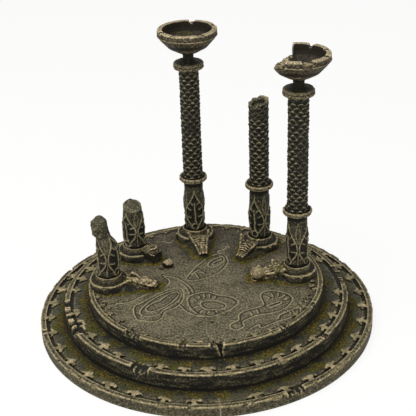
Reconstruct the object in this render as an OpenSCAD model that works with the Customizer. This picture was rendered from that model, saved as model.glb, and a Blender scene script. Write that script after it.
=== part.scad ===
// Miniature terrain ruin: a round dais of three steps with five columns in a half circle.
// Millimetres, +Z up, -Y is the front. The origin is the centre of the underside.

/* [Steps] */
// Diameter of the top step over its rim
top_step_d = 168; // [140:1:220]
// Width of the ledge round the top step
middle_ledge_w = 18; // [12:0.5:30]
// Width of the ledge round the middle step
lower_ledge_w = 18; // [12:0.5:30]
// Height of the lower step's rim above the table
lower_step_h = 8.5; // [7:0.5:16]
// Rise of the middle step's rim above the lower rim
middle_step_rise = 11.5; // [8:0.5:18]
// Rise of the top step's rim above the middle rim
top_step_rise = 10; // [8:0.5:18]
// Height of a rim above its ledge
rim_relief = 1.2; // [0.6:0.1:2]
// Width of the lower and middle rims
rim_w = 4; // [2.6:0.1:5]
// Wall and plate thickness of the hollow steps
shell_t = 2.4; // [1.6:0.1:3.2]
// Width of the seat that each step stands on
seat_w = 8; // [6:0.5:10]
// How far a locating wall reaches below its seat
locating_h = 3.2; // [2:0.1:5]
// Thickness of the ribs under the steps
rib_t = 1.6; // [1:0.1:2.4]

/* [Rim ornament] */
// Number of crockets round the lower rim
lower_crockets = 36; // [24:2:44]
// Number of crockets round the middle rim
middle_crockets = 40; // [24:2:44]
// Number of nubs round the top rim
top_nubs = 44; // [24:2:60]
// Reach of a crocket from the rim towards the centre
crocket_reach = 6.5; // [4:0.1:8]
// Width of a crocket over its side prongs
crocket_w = 8; // [5:0.1:9]
// Reach of a nub from the top rim
nub_reach = 2.4; // [1.5:0.1:3.5]

/* [Columns] */
// Distance from the top step's edge to the circle of column axes
column_inset = 18.4; // [17:0.1:22]
// Diameter of the plinth's round part
plinth_d = 28; // [24:0.5:32]
// Height of the plinth's lower block
plinth_h = 5.4; // [4:0.1:8]
// Outer diameter of the plinth's cup ring
cup_d = 20; // [18.6:0.1:22]
// Height of the cup ring
cup_h = 4.3; // [3:0.1:6]
// Depth of the cup that a drum stands in
cup_depth = 1.3; // [0.8:0.1:2.5]
// Length of the longest prow from the column's axis
prow_l = 36.5; // [33:0.5:40]
// Width of the prow's blunt tip
prow_tip_w = 8.6; // [6:0.1:10]
// Height of the prow's flat top above the floor
prow_h = 3.6; // [2.6:0.1:5]
// Diameter of a lower drum at its ends
drum_d = 14.2; // [12:0.1:16]
// Swell of a drum at the middle of its height
drum_swell = 0.8; // [0:0.1:1.4]
// Length of a whole drum between its seats
drum_l = 39.8; // [30:0.1:50]
// Diameter of the collar between drum and shaft
collar_d = 20.8; // [18:0.1:24]
// Height of the collar between its seats
collar_h = 3.8; // [3:0.1:6]
// Diameter of a shaft over its scales
shaft_d = 14.6; // [12:0.1:17]
// Length of a whole shaft between its seats
shaft_l = 85.1; // [60:0.5:110]
// Diameter of the capital
capital_d = 22.2; // [19:0.1:26]
// Height of the capital between its seats
capital_h = 7.7; // [7:0.1:10]
// Height of the left column's broken drum above its seat
left_drum_l = 31; // [24:0.5:36]
// Height of the back left stump above its seat
stump_l = 38; // [28:0.5:40]
// Length of the broken shaft above its seat
broken_shaft_l = 67.5; // [40:0.5:80]

/* [Bowls] */
// Diameter of a bowl over its rim
bowl_d = 43.2; // [36:0.2:50]
// Height of a bowl from its seat to its rim
bowl_h = 22.5; // [18:0.5:28]
// Width of a bowl's rim
bowl_rim_w = 4.2; // [3:0.1:5]
// Height of the upright band under a bowl's rim
bowl_band_h = 4.7; // [3:0.1:7]
// Depth of a bowl's hollow
bowl_depth = 12; // [9:0.5:14]
// Diameter of a bowl's stem
stem_d = 7.8; // [6.6:0.1:10]

/* [Fits] */
// Radial clearance of every spigot and locating wall
fit_gap = 0.1; // [0.05:0.01:0.3]
// Diameter of the spigots that join the column pieces
spigot_d = 7; // [5:0.1:9]
// Length of a spigot in its socket
spigot_l = 3.4; // [2.4:0.1:4]
// Diameter of the peg under a plinth
plinth_peg_d = 8; // [6:0.1:10]
// Length of the peg under a plinth
plinth_peg_l = 6; // [4:0.1:7]
// Depth of the recesses that the steps and the plinths sit in
recess = 0.4; // [0.3:0.1:1]
// Diameter of the small pegs of the seams, bowls and heads
small_peg_d = 3; // [2.4:0.1:4]
// Length of the small pegs
small_peg_l = 2; // [1.5:0.1:2.4]

/* [Hidden] */
$fn = 96;

top_r = top_step_d / 2;
middle_r = top_r + middle_ledge_w;
lower_r = middle_r + lower_ledge_w;
lower_bore_r = middle_r - seat_w;
middle_bore_r = top_r - seat_w;
top_rim_w = rim_w * 0.85;
lower_ledge_z = lower_step_h - rim_relief;
middle_rim_z = lower_step_h + middle_step_rise;
middle_ledge_z = middle_rim_z - rim_relief;
top_rim_z = middle_rim_z + top_step_rise;
floor_z = top_rim_z - rim_relief;
cup_lip_z = floor_z + plinth_h + cup_h;
drum_z = cup_lip_z - cup_depth;
collar_z = drum_z + drum_l;
shaft_z = collar_z + collar_h;
capital_z = shaft_z + shaft_l;
bowl_z = capital_z + capital_h;

seam_az = -87;
seam_gap = 0.1;
rib_pitch = 30;
overlap = 0.6;
socket_d = spigot_d + 2 * fit_gap;
small_socket_d = small_peg_d + 2 * fit_gap;
socket_floor = 0.4;
collar_lip = 0.8;
crocket_drop = rim_relief / 8;

// The five columns: azimuth on the dais, step out from the column circle, turn of the prow,
// half width of the prow at its root, and how much shorter the prow is than the longest
back = [95.8, -0.8, 4, 15, 3.5];
back_right = [48.7, -1.7, 5, 15, 7.5];
right = [3.4, 0.6, 2, 15.8, 2];
left = [181.2, 3.5, -9, 18, 0];
back_left = [142, 0, 4, 13, 14.5];
columns = [back, back_right, right, left, back_left];

// Bites out of a rim: azimuth, width and height
lower_bites = [[-63, 8, 3], [-166, 4, 5]];
middle_bites = [[-115.5, 7, 4], [-153, 6, 3], [-162, 9, 5], [-170, 5, 3], [8, 12, 1.6]];
top_bites = [[-84, 3, 5], [-127, 9, 2.4], [-101, 3, 1.4]];

// Loose chips: azimuth, distance in from the top step's edge, size, turn
chips = [[-87, 29, 1.6, 20], [-159, 8, 1.6, 15], [-153, 9, 1.5, 60], [-139, 8, 1.3, 40],
    [-7, 7.5, 1.9, 25], [-12, 8, 1.6, 55], [-20, 8, 1.8, 5], [-24, 9.5, 1.4, 35]];

module place(column) {
    rotate([0, 0, column[0]]) translate([axis_r(column), 0, 0])
        rotate([0, 0, 180 + column[2]]) children();
}

function axis_r(column) = top_r - column_inset + column[1];
function polar(r, az) = r * [cos(az), sin(az)];

module ring(outer, inner, low, high) {
    translate([0, 0, low]) difference() {
        cylinder(r = outer, h = high - low);
        translate([0, 0, -1]) cylinder(r = inner, h = high - low + 2);
    }
}

module rim_bites(bites, r, z) {
    for (b = bites) rotate([0, 0, b[0]]) translate([r, 0, z]) rotate([0, 0, 45])
        cube([b[1] / sqrt(2), b[1] / sqrt(2), 2 * b[2]], center = true);
}

module crocket(reach, width, low, high) {
    half = width / 2;
    translate([0, 0, low]) linear_extrude(high - low) polygon([
        [overlap, half * 0.5], [-reach * 0.3, half * 0.3], [-reach * 0.45, half],
        [-reach * 0.65, half * 0.45], [-reach, 0],
        [-reach * 0.65, -half * 0.45], [-reach * 0.45, -half], [-reach * 0.3, -half * 0.3],
        [overlap, -half * 0.5]]);
}

// The half ring's channel: outer wall, ledge plate, rim, inner wall, end walls and ribs
module lower_half(has_pegs) {
    peg_r = (lower_bore_r + lower_r) / 2;
    peg_z = lower_ledge_z - shell_t - small_peg_d * 0.65;
    end_turn = asin(seam_gap / 2 / lower_r);
    first = 180 / lower_crockets;
    difference() {
        union() {
            rotate([0, 0, end_turn]) rotate_extrude(angle = 180 - 2 * end_turn) polygon([
                [lower_bore_r, 0], [lower_bore_r + shell_t, 0],
                [lower_bore_r + shell_t, lower_ledge_z - shell_t],
                [lower_r - shell_t, lower_ledge_z - shell_t], [lower_r - shell_t, 0],
                [lower_r, 0], [lower_r, lower_step_h], [lower_r - rim_w, lower_step_h],
                [lower_r - rim_w, lower_ledge_z], [middle_r + fit_gap, lower_ledge_z],
                [middle_r + fit_gap, lower_ledge_z - recess],
                [lower_bore_r, lower_ledge_z - recess]]);
            for (side = [-1, 1]) translate([side * peg_r, seam_gap / 2 + shell_t / 2, 0])
                lower_web(shell_t);
            for (a = [rib_pitch:rib_pitch:180 - rib_pitch]) rotate([0, 0, a])
                translate([peg_r, 0, 0]) lower_web(rib_t);
            for (a = [first:2 * first:180 - first]) rotate([0, 0, a])
                translate([lower_r - rim_w, 0, 0])
                    crocket(crocket_reach, crocket_w, lower_ledge_z - overlap,
                        lower_step_h - crocket_drop);
            if (has_pegs) for (side = [-1, 1])
                translate([side * peg_r, shell_t, peg_z]) rotate([90, 0, 0])
                    cylinder(d = small_peg_d, h = shell_t + small_peg_l);
        }
        if (!has_pegs) for (side = [-1, 1])
            translate([side * peg_r, 2 * shell_t, peg_z]) rotate([90, 0, 0])
                cylinder(d = small_socket_d, h = 4 * shell_t);
    }
}

module lower_web(thickness) {
    low = thickness == rib_t ? 1 : 0;
    length = lower_r - lower_bore_r - shell_t;
    translate([-length / 2, -thickness / 2, low])
        cube([length, thickness, lower_ledge_z - shell_t / 2 - low]);
}

module lower_step_left() {
    color([0.28, 0.26, 0.21]) difference() {
        rotate([0, 0, seam_az + 180]) lower_half(true);
        rim_bites(lower_bites, lower_r, lower_step_h);
    }
}

module lower_step_right() {
    color([0.27, 0.25, 0.2]) difference() {
        rotate([0, 0, seam_az]) lower_half(false);
        rim_bites(lower_bites, lower_r, lower_step_h);
    }
}

module middle_step() {
    locating_r = lower_bore_r - fit_gap;
    plate_z = middle_ledge_z - shell_t;
    color([0.24, 0.23, 0.18]) difference() {
        union() {
            ring(middle_r, middle_bore_r, plate_z, middle_ledge_z);
            ring(middle_r, middle_r - rim_w, plate_z, middle_rim_z);
            ring(middle_r, middle_r - shell_t, lower_ledge_z - recess, middle_ledge_z);
            ring(middle_bore_r + shell_t, middle_bore_r, 0, middle_ledge_z);
            ring(locating_r, locating_r - shell_t, lower_ledge_z - locating_h, middle_ledge_z);
            for (a = [0:rib_pitch:359]) rotate([0, 0, a])
                translate([middle_bore_r + shell_t / 2, -rib_t / 2, lower_ledge_z + 1])
                    cube([middle_r - middle_bore_r - shell_t, rib_t, plate_z - lower_ledge_z]);
            for (i = [0:middle_crockets - 1]) rotate([0, 0, i * 360 / middle_crockets])
                translate([middle_r - rim_w, 0, 0]) crocket(crocket_reach * 0.85,
                    crocket_w * 0.85, middle_ledge_z - overlap, middle_rim_z - crocket_drop);
        }
        ring(top_r + fit_gap, middle_bore_r - 1, middle_ledge_z - recess, middle_ledge_z + 1);
        rim_bites(middle_bites, middle_r, middle_rim_z);
    }
}

module top_platform() {
    locating_r = middle_bore_r - fit_gap;
    plate_z = floor_z - shell_t;
    boss_d = plinth_peg_d + 2 * shell_t;
    socket_l = plinth_peg_l + socket_floor;
    rib_h = 4;
    color([0.4, 0.37, 0.29]) difference() {
        union() {
            translate([0, 0, plate_z]) cylinder(r = top_r, h = shell_t);
            ring(top_r, top_r - top_rim_w, plate_z, top_rim_z);
            ring(top_r, top_r - shell_t, middle_ledge_z - recess, floor_z);
            ring(locating_r, locating_r - shell_t, middle_ledge_z - locating_h, floor_z);
            for (c = columns) place(c)
                translate([0, 0, floor_z - socket_l - shell_t / 2])
                    cylinder(d = boss_d, h = socket_l);
            for (a = [0:rib_pitch:179]) rotate([0, 0, a])
                translate([-locating_r + shell_t / 2, -rib_t / 2, plate_z - rib_h])
                    cube([2 * locating_r - shell_t, rib_t, rib_h + shell_t / 2]);
            for (i = [0:top_nubs - 1]) if (nub_is_clear(i * 360 / top_nubs))
                rotate([0, 0, i * 360 / top_nubs]) translate([top_r - top_rim_w, 0, 0])
                    crocket(nub_reach, nub_reach * 1.2, floor_z - overlap,
                        top_rim_z - crocket_drop);
        }
        for (c = columns) place(c) {
            translate([0, 0, floor_z - recess])
                plinth_footprint(c, fit_gap, recess + 2 * rim_relief);
            translate([0, 0, floor_z - socket_l])
                cylinder(d = plinth_peg_d + 2 * fit_gap, h = socket_l + 1);
        }
        rim_bites(top_bites, top_r, top_rim_z);
    }
}

// No nub stands where a plinth's round part reaches the rim
function nub_is_clear(az) = min([for (c = columns)
    norm(polar(top_r - top_rim_w, az) - polar(axis_r(c), c[0]))]) > plinth_d / 2 + nub_reach;

// The ground that a plinth covers: its recess in the floor, and in the rim where it reaches it
module plinth_footprint(column, gap, height) {
    cylinder(d = plinth_d + 2 * gap, h = height);
    linear_extrude(height) prow_outline(column, gap);
}

module prow_outline(column, gap) {
    root_w = column[3] + gap;
    tip_x = prow_tip(column) + gap;
    tip_w = prow_tip_w / 2 + gap;
    polygon([[-gap, -root_w], [tip_x, -tip_w], [tip_x, tip_w], [-gap, root_w]]);
}

// Lower block with its prow, cup ring, sockets and peg, seen with the prow along +X
module plinth(column) {
    ring_h = cup_lip_z - floor_z;
    color([0.33, 0.31, 0.23]) place(column) translate([0, 0, floor_z]) difference() {
        union() {
            translate([0, 0, -recess]) {
                cylinder(d = plinth_d, h = recess + plinth_h);
                linear_extrude(recess + prow_h) prow_outline(column, 0);
            }
            cylinder(d1 = cup_d, d2 = cup_d - 1.4, h = ring_h);
            translate([0, 0, -plinth_peg_l]) cylinder(d = plinth_peg_d, h = plinth_peg_l + 1);
        }
        translate([0, 0, ring_h - cup_depth])
            cylinder(d = drum_d + 2 * fit_gap, h = cup_depth + 1);
        translate([0, 0, ring_h - cup_depth - spigot_l - socket_floor])
            cylinder(d = socket_d, h = cup_depth + spigot_l + 1);
        translate([head_peg_x(column), 0, prow_h - small_peg_l - socket_floor])
            cylinder(d = small_socket_d, h = small_peg_l + 1);
    }
}

function prow_tip(column) = prow_l - column[4];
function head_peg_x(column) = (plinth_d / 2 + prow_tip(column)) / 2;

// A horned beast's head that slopes down along the prow, with its snout at the tip
module beast_head(column, nose_h, crown_h, horn_h) {
    neck_x = plinth_d / 2 + fit_gap;
    tip_x = prow_tip(column);
    length = tip_x - neck_x;
    back_w = 13;
    color([0.45, 0.41, 0.32]) place(column) translate([0, 0, floor_z + prow_h]) union() {
        intersection() {
            linear_extrude(crown_h + 1) polygon([[neck_x, -back_w / 2],
                [neck_x + length * 0.55, -back_w * 0.34], [tip_x, -prow_tip_w / 2],
                [tip_x, prow_tip_w / 2], [neck_x + length * 0.55, back_w * 0.34],
                [neck_x, back_w / 2]]);
            translate([0, back_w, 0]) rotate([90, 0, 0]) linear_extrude(2 * back_w)
                polygon([[neck_x, 0], [tip_x, 0], [tip_x, nose_h],
                    [neck_x + length * 0.7, nose_h * 1.35], [neck_x + length * 0.35, crown_h * 0.8],
                    [neck_x, crown_h]]);
        }
        for (side = [-1, 1]) translate([neck_x + 1.6, side * (back_w / 2 - 1.4), 0])
            cylinder(r = 1.5, h = horn_h);
        for (i = [0:2]) translate([neck_x + 3 + 2 * i, -back_w * 0.22, 0])
            cube([0.9, back_w * 0.44, crown_h * (1.02 - 0.1 * i)]);
        translate([head_peg_x(column), 0, -small_peg_l])
            cylinder(d = small_peg_d, h = small_peg_l + overlap);
    }
}

module broken_head(column) {
    neck_x = plinth_d / 2 + fit_gap;
    tip_x = prow_tip(column);
    top_h = 2.6;
    color([0.36, 0.34, 0.22]) place(column) translate([0, 0, floor_z + prow_h]) union() {
        linear_extrude(top_h) polygon([[neck_x, -5.2], [tip_x - 1.6, -4.2], [tip_x, 0.5],
            [tip_x - 1, prow_tip_w / 2], [neck_x, 5.4]]);
        translate([neck_x + 1.4, -3.8, 0]) cylinder(r = 1.3, h = top_h + 1.4);
        translate([head_peg_x(column), 0, -small_peg_l])
            cylinder(d = small_peg_d, h = small_peg_l + overlap);
    }
}

module spigot(low, length) {
    translate([0, 0, low - length]) cylinder(d = spigot_d, h = length + overlap);
}

module socket(top, length) {
    translate([0, 0, top - length - socket_floor])
        cylinder(d = socket_d, h = length + socket_floor + 1);
}

module drum_body(length) {
    r = drum_d / 2;
    rotate_extrude() polygon([[0, 0], [r, 0], [r, length * 0.1],
        [r + drum_swell, length * 0.35], [r + drum_swell, length * 0.6],
        [r, length * 0.9], [r, length], [0, length]]);
}

module drum(column) {
    color([0.23, 0.22, 0.17]) place(column) translate([0, 0, drum_z]) difference() {
        union() {
            drum_body(drum_l);
            spigot(0, spigot_l);
        }
        socket(drum_l, spigot_l);
    }
}

// Drum broken at a slant, with the lump of core that still stands on its high side
module broken_drum_left() {
    waist_r = drum_d * 0.27;
    lump_r = drum_d * 0.4;
    lean = drum_d * 0.3;
    color([0.25, 0.24, 0.18]) place(left) translate([0, 0, drum_z]) {
        difference() {
            union() {
                drum_body(left_drum_l);
                spigot(0, spigot_l);
            }
            translate([0, 0, left_drum_l]) rotate([0, 28, 0]) translate([-2 * drum_d, -drum_d, 0])
                cube([4 * drum_d, 2 * drum_d, drum_d]);
        }
        translate([-lean * 0.8, 0, left_drum_l - 5])
            cylinder(r1 = waist_r * 1.2, r2 = waist_r, h = 8);
        translate([-lean, 0, left_drum_l + lump_r + 1.5]) sphere(r = lump_r);
        translate([-lean * 0.7, 0, left_drum_l + lump_r * 1.7 + 1.5]) sphere(r = lump_r * 0.7);
    }
}

module stump_back_left() {
    r = drum_d / 2;
    color([0.26, 0.25, 0.18]) place(back_left) translate([0, 0, drum_z]) difference() {
        union() {
            cylinder(r1 = r, r2 = r * 0.94, h = stump_l);
            spigot(0, spigot_l);
        }
        translate([0, 0, stump_l - r * 0.7]) rotate([24, 30, 0]) translate([-2 * r, -3 * r, 0])
            cube([6 * r, 6 * r, 4 * r]);
    }
}

module collar(column) {
    r = collar_d / 2;
    color([0.36, 0.34, 0.27]) place(column) translate([0, 0, collar_z]) difference() {
        rotate_extrude() polygon([[0, 0], [drum_d / 2 + 0.2, 0], [r - 2, collar_h * 0.3],
            [r, collar_h * 0.75], [r, collar_h], [r - 0.6, collar_h + collar_lip],
            [r - 1.4, collar_h + collar_lip], [shaft_d / 2 + 0.2, collar_h], [0, collar_h]]);
        translate([0, 0, -1]) cylinder(d = socket_d, h = collar_h + 2);
    }
}

module shaft_body(length) {
    cylinder(d = shaft_d, h = length);
    spigot(0, collar_h + spigot_l);
}

module shaft(column) {
    color([0.24, 0.24, 0.18]) place(column) translate([0, 0, shaft_z]) {
        shaft_body(shaft_l);
        translate([0, 0, shaft_l - overlap]) cylinder(d = spigot_d, h = spigot_l + overlap);
    }
}

// The break slopes down towards the front and the left of the dais
module broken_shaft_back_right() {
    wide = 4 * shaft_d;
    color([0.22, 0.22, 0.17]) place(back_right) translate([0, 0, shaft_z]) difference() {
        shaft_body(broken_shaft_l);
        rotate([0, 0, -(back_right[0] + 180 + back_right[2])])
            translate([0, 0, broken_shaft_l - 3]) rotate([14, -18, 0])
                translate([-wide / 2, -wide / 2, 0]) cube([wide, wide, shaft_d]);
    }
}

module capital(column) {
    r = capital_d / 2;
    neck_r = stem_d / 2 + 0.4;
    color([0.3, 0.29, 0.22]) place(column) translate([0, 0, capital_z]) difference() {
        rotate_extrude() polygon([[0, 0], [shaft_d / 2 + 0.4, 0], [r - 1, capital_h * 0.22],
            [r, capital_h * 0.32], [r, capital_h * 0.58], [r - 0.8, capital_h * 0.66],
            [r - 2.6, capital_h * 0.58], [neck_r + 1, capital_h * 0.74],
            [neck_r, capital_h], [0, capital_h]]);
        translate([0, 0, -1]) cylinder(d = socket_d, h = spigot_l + socket_floor + 1);
        translate([0, 0, capital_h - small_peg_l - socket_floor])
            cylinder(d = small_socket_d, h = small_peg_l + 1);
    }
}

// Half section of a bowl: stem, curved underside, upright band, rim and hollow
module bowl_body() {
    r = bowl_d / 2;
    stem_r = stem_d / 2;
    stem_h = bowl_h * 0.2;
    band_z = bowl_h - bowl_band_h;
    inner_r = r - bowl_rim_w;
    wall_z = bowl_h - bowl_band_h - 0.9;
    hollow_z = bowl_h - bowl_depth;
    steps = 8;
    rotate_extrude() polygon(concat(
        [[0, 0], [stem_r + 0.4, 0], [stem_r, stem_h * 0.5]],
        [for (i = [0:steps]) [stem_r + (r - stem_r) * i / steps,
            stem_h + (band_z - stem_h) * pow(i / steps, 1.45)]],
        [[r, bowl_h], [inner_r, bowl_h]],
        [for (i = [steps:-1:0]) [inner_r * i / steps,
            hollow_z + (wall_z - hollow_z) * pow(i / steps, 2.5)]]));
    translate([0, 0, -small_peg_l]) cylinder(d = small_peg_d, h = small_peg_l + overlap);
}

// A wedge of azimuths above a height, in the dais's own directions
module bowl_break(from, to, low) {
    wide = bowl_d;
    rotate([0, 0, from]) translate([0, 0, low]) rotate_extrude(angle = to - from)
        square([wide, bowl_h]);
}

module bowl_back() {
    notch = 4.5;
    color([0.4, 0.37, 0.29]) place(back) translate([0, 0, bowl_z]) difference() {
        bowl_body();
        rotate([0, 0, -(back[0] + 180 + back[2]) + 80]) translate([bowl_d / 2, 0, bowl_h])
            cube([2 * bowl_rim_w + 2, notch, 3], center = true);
    }
}

module broken_bowl_right() {
    stub_h = bowl_h - bowl_band_h;
    color([0.38, 0.36, 0.28]) place(right) translate([0, 0, bowl_z]) difference() {
        bowl_body();
        rotate([0, 0, -(right[0] + 180 + right[2])]) {
            bowl_break(97, 239, bowl_h - 2.6);
            bowl_break(97, 230, stub_h - 0.2);
            bowl_break(97, 216, stub_h - 3);
            bowl_break(118, 202, stub_h - 5.2);
            bowl_break(275, 287, bowl_h - 2.9);
            bowl_break(55, 63, bowl_h - 2.2);
        }
    }
}

// A fallen lump of stone: the part shared by three tilted blocks
module fallen_block() {
    size = 6.5;
    color([0.5, 0.46, 0.37]) rotate([0, 0, 143.4]) translate([34, 0, floor_z]) intersection() {
        translate([0, 0, size * 0.35]) rotate([35, 20, 10]) cube(size, center = true);
        translate([0, 0, size * 0.35]) rotate([10, 40, 55]) cube(size, center = true);
        translate([-size, -size, 0]) cube([2 * size, 2 * size, size]);
    }
}

module rubble_chips() {
    color([0.5, 0.46, 0.38]) for (c = chips)
        rotate([0, 0, c[0]]) translate([top_r - c[1], 0, floor_z]) rotate([0, 0, c[3]]) intersection() {
            translate([0, 0, c[2] * 0.3]) rotate([30, 25, 0]) cube(c[2], center = true);
            translate([-c[2], -c[2], 0]) cube(2 * c[2]);
        }
}

lower_step_left();
lower_step_right();
middle_step();
top_platform();
plinth(back);  // plinth_back
plinth(back_right);  // plinth_back_right
plinth(right);  // plinth_right
plinth(left);  // plinth_left
plinth(back_left);  // plinth_back_left
beast_head(back, 2.1, 6.6, 8.6);  // beast_head_back
beast_head(back_right, 2.1, 6.6, 8.6);  // beast_head_back_right
beast_head(right, 4.4, 4.8, 6.6);  // beast_head_right
beast_head(left, 3.6, 4.2, 5.4);  // beast_head_left
broken_head(back_left);  // broken_head_back_left
drum(back);  // drum_back
drum(back_right);  // drum_back_right
drum(right);  // drum_right
broken_drum_left();
stump_back_left();
collar(back);  // collar_back
collar(back_right);  // collar_back_right
collar(right);  // collar_right
shaft(back);  // shaft_back
broken_shaft_back_right();
shaft(right);  // shaft_right
capital(back);  // capital_back
capital(right);  // capital_right
bowl_back();
broken_bowl_right();
fallen_block();
rubble_chips();
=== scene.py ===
import math
import bmesh
import bpy
import numpy as np
from mathutils import Matrix, Vector


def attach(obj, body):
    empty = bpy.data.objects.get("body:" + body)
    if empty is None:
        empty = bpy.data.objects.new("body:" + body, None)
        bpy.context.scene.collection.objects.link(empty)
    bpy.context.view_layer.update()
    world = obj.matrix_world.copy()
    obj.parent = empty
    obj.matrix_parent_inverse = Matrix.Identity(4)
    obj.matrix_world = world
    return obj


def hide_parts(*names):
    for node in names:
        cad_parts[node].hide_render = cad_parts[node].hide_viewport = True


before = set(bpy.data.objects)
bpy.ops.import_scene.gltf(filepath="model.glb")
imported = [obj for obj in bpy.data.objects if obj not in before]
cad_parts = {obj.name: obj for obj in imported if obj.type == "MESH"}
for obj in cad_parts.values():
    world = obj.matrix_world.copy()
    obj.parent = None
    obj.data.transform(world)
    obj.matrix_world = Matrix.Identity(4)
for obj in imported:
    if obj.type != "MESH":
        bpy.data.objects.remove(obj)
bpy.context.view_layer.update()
spread = 1.0
print("frame loaded:", len(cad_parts), "nodes")

# All modelling is in millimetres. A piece is turned to metres when it is finished.
floorZ = 28.8  # the top platform's floor, which the columns stand on
topR = 84.0
frontAzimuth = -88.0  # the side that was handled most
metre = 1000.0


def readRows(items, field, width=3, kind=np.float32):
    values = np.empty(len(items) * width, kind)
    items.foreach_get(field, values)
    return values.reshape(-1, width)


def readColumn(key):
    # a column's axis, the direction of its plinth's prow, and how far out the prow reaches
    points = readRows(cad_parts["plinth_" + key].data.vertices, "co") * metre
    peg = points[points[:, 2] < points[:, 2].min() + 0.01, :2]  # the round peg's underside
    axis = (peg.min(0) + peg.max(0)) / 2
    away = np.hypot(*(points[:, :2] - axis).T)
    tip = points[away > away.max() - 0.3, :2].mean(0) - axis
    return {"axis": axis, "turn": math.atan2(tip[1], tip[0]), "prow": float(np.hypot(*tip))}


columns = {key: readColumn(key) for key in ("back", "back_right", "right", "left", "back_left")}
print("columns found:", *columns)


# ---- points and noise
def smooth(low, high, value):
    t = np.clip((value - low) / (high - low), 0, 1)
    return t * t * (3 - 2 * t)


def bell(value, width, power=2):
    return np.exp(-((value / width) ** power))


def most(*values):
    return np.maximum.reduce(np.broadcast_arrays(*values))


def noise(points, cell, seed):
    # smooth lattice noise from -1 to 1; cell is its grain in millimetres, one number or one for each axis
    p = np.asarray(points, float) / cell
    base = np.floor(p).astype(np.int64)
    f = p - base
    f = f * f * (3 - 2 * f)
    total = np.zeros(len(p))
    for corner in range(8):
        step = np.array([corner & 1, corner >> 1 & 1, corner >> 2])
        k = base + step
        h = (k[:, 0] * 374761393 + k[:, 1] * 668265263 + k[:, 2] * 1440662683 + seed * 974711) & 0xFFFFFFFF
        h = ((h ^ (h >> 13)) * 1274126177) & 0xFFFFFFFF
        h = (h ^ (h >> 16)) & 0xFFFF
        total += np.prod(np.where(step, f, 1 - f), axis=1) * (h / 32767.5 - 1)
    return total


def rough(points, cell, seed, octaves=3):
    return sum(noise(points, np.asarray(cell) / 2**i, seed + 31 * i) / 2**i for i in range(octaves))


def shiver(points, cell, size, seed):
    # a small rough shift in all three directions
    return size * np.column_stack([rough(points, cell, seed + k) for k in (1, 2, 3)])


def meshPoints(mesh):
    return readRows(mesh.vertices, "co").astype(float)


def meshNormals(mesh):
    return readRows(mesh.vertex_normals, "vector").astype(float)


def setMeshPoints(mesh, points):
    mesh.vertices.foreach_set("co", np.asarray(points, np.float32).ravel())
    mesh.update()


def relax(values, pairs, passes):
    # moves each vertex's value half way to the mean of its neighbours, again and again
    a, b = pairs
    values = np.array(values, float)
    size = len(values)
    rows = values.reshape(size, -1)
    count = np.maximum(np.bincount(a, minlength=size) + np.bincount(b, minlength=size), 1)
    for _ in range(max(1, round(passes / spread**2))):
        for k in range(rows.shape[1]):
            row = rows[:, k]
            rows[:, k] = 0.5 * row + 0.5 * (np.bincount(a, row[b], size) + np.bincount(b, row[a], size)) / count
    return rows.reshape(values.shape)


def standsProud(mesh, passes=8, full=0.2, blur=1):
    # wear where a vertex stands out of its surroundings and cavity where it lies in them, both from 0 to 1
    points, pairs = meshPoints(mesh), readRows(mesh.edges, "vertices", 2, np.int32).T
    proud = np.einsum("ij,ij->i", points - relax(points, pairs, passes), meshNormals(mesh))
    return relax(smooth(0.015, full, proud), pairs, blur), relax(smooth(0.02, full * 1.4, -proud), pairs, blur)


def polar(points):
    # distance from the axis, direction out from it, and azimuth in degrees
    r = np.hypot(points[:, 0], points[:, 1])
    return r, points[:, :2] / np.maximum(r, 1e-6)[:, None], np.degrees(np.arctan2(points[:, 1], points[:, 0]))


def turnFrom(azimuth, centre):
    return (azimuth - centre + 180) % 360 - 180


def smoothLine(points, closed, step=0.8):
    # a smooth curve through the points, as short straight runs
    p = np.array(points, float)
    p = np.vstack([p[-1], p, p[0], p[1]]) if closed else np.vstack([2 * p[0] - p[1], p, 2 * p[-1] - p[-2]])
    line = []
    for a, b, c, d in zip(p, p[1:], p[2:], p[3:]):
        square, cube = 2 * a - 5 * b + 4 * c - d, 3 * b - a - 3 * c + d
        for t in np.linspace(0, 1, max(2, int(math.dist(b, c) / step)), endpoint=False):
            line.append(0.5 * (2 * b + (c - a) * t + square * t**2 + cube * t**3))
    return np.array(line + [p[-2]])


def lineDistance(points, line):
    # how far each flat point is from a line, and which side it is on
    best, side = np.full(len(points), 1e9), np.ones(len(points))
    near = np.all((points > line.min(0) - 4) & (points < line.max(0) + 4), axis=1)
    p, nearBest, nearSide = points[near], best[near], side[near]
    for a, b in zip(line, line[1:]):
        run = b - a
        t = np.clip(((p - a) @ run) / max(run @ run, 1e-9), 0, 1)
        away = p - a - t[:, None] * run
        d = np.hypot(away[:, 0], away[:, 1])
        nearSide = np.where(d < nearBest, np.sign(run[0] * away[:, 1] - run[1] * away[:, 0]), nearSide)
        nearBest = np.minimum(nearBest, d)
    best[near], side[near] = nearBest, nearSide
    return best, side


# ---- making meshes
def turned(bm, verts, degrees):
    bmesh.ops.rotate(bm, verts=verts, cent=(0, 0, 0), matrix=Matrix.Rotation(math.radians(degrees), 3, "Z"))


def toMesh(bm, name):
    mesh = bpy.data.meshes.new(name)
    bm.to_mesh(mesh)
    bm.free()
    return mesh


def addMesh(bm, part):
    # puts one bmesh into another
    mesh = toMesh(part, "part")
    bm.from_mesh(mesh)
    bpy.data.meshes.remove(mesh)


def inScene(name, data):
    item = bpy.data.objects.new(name, data)
    bpy.context.scene.collection.objects.link(item)
    return item


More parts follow.
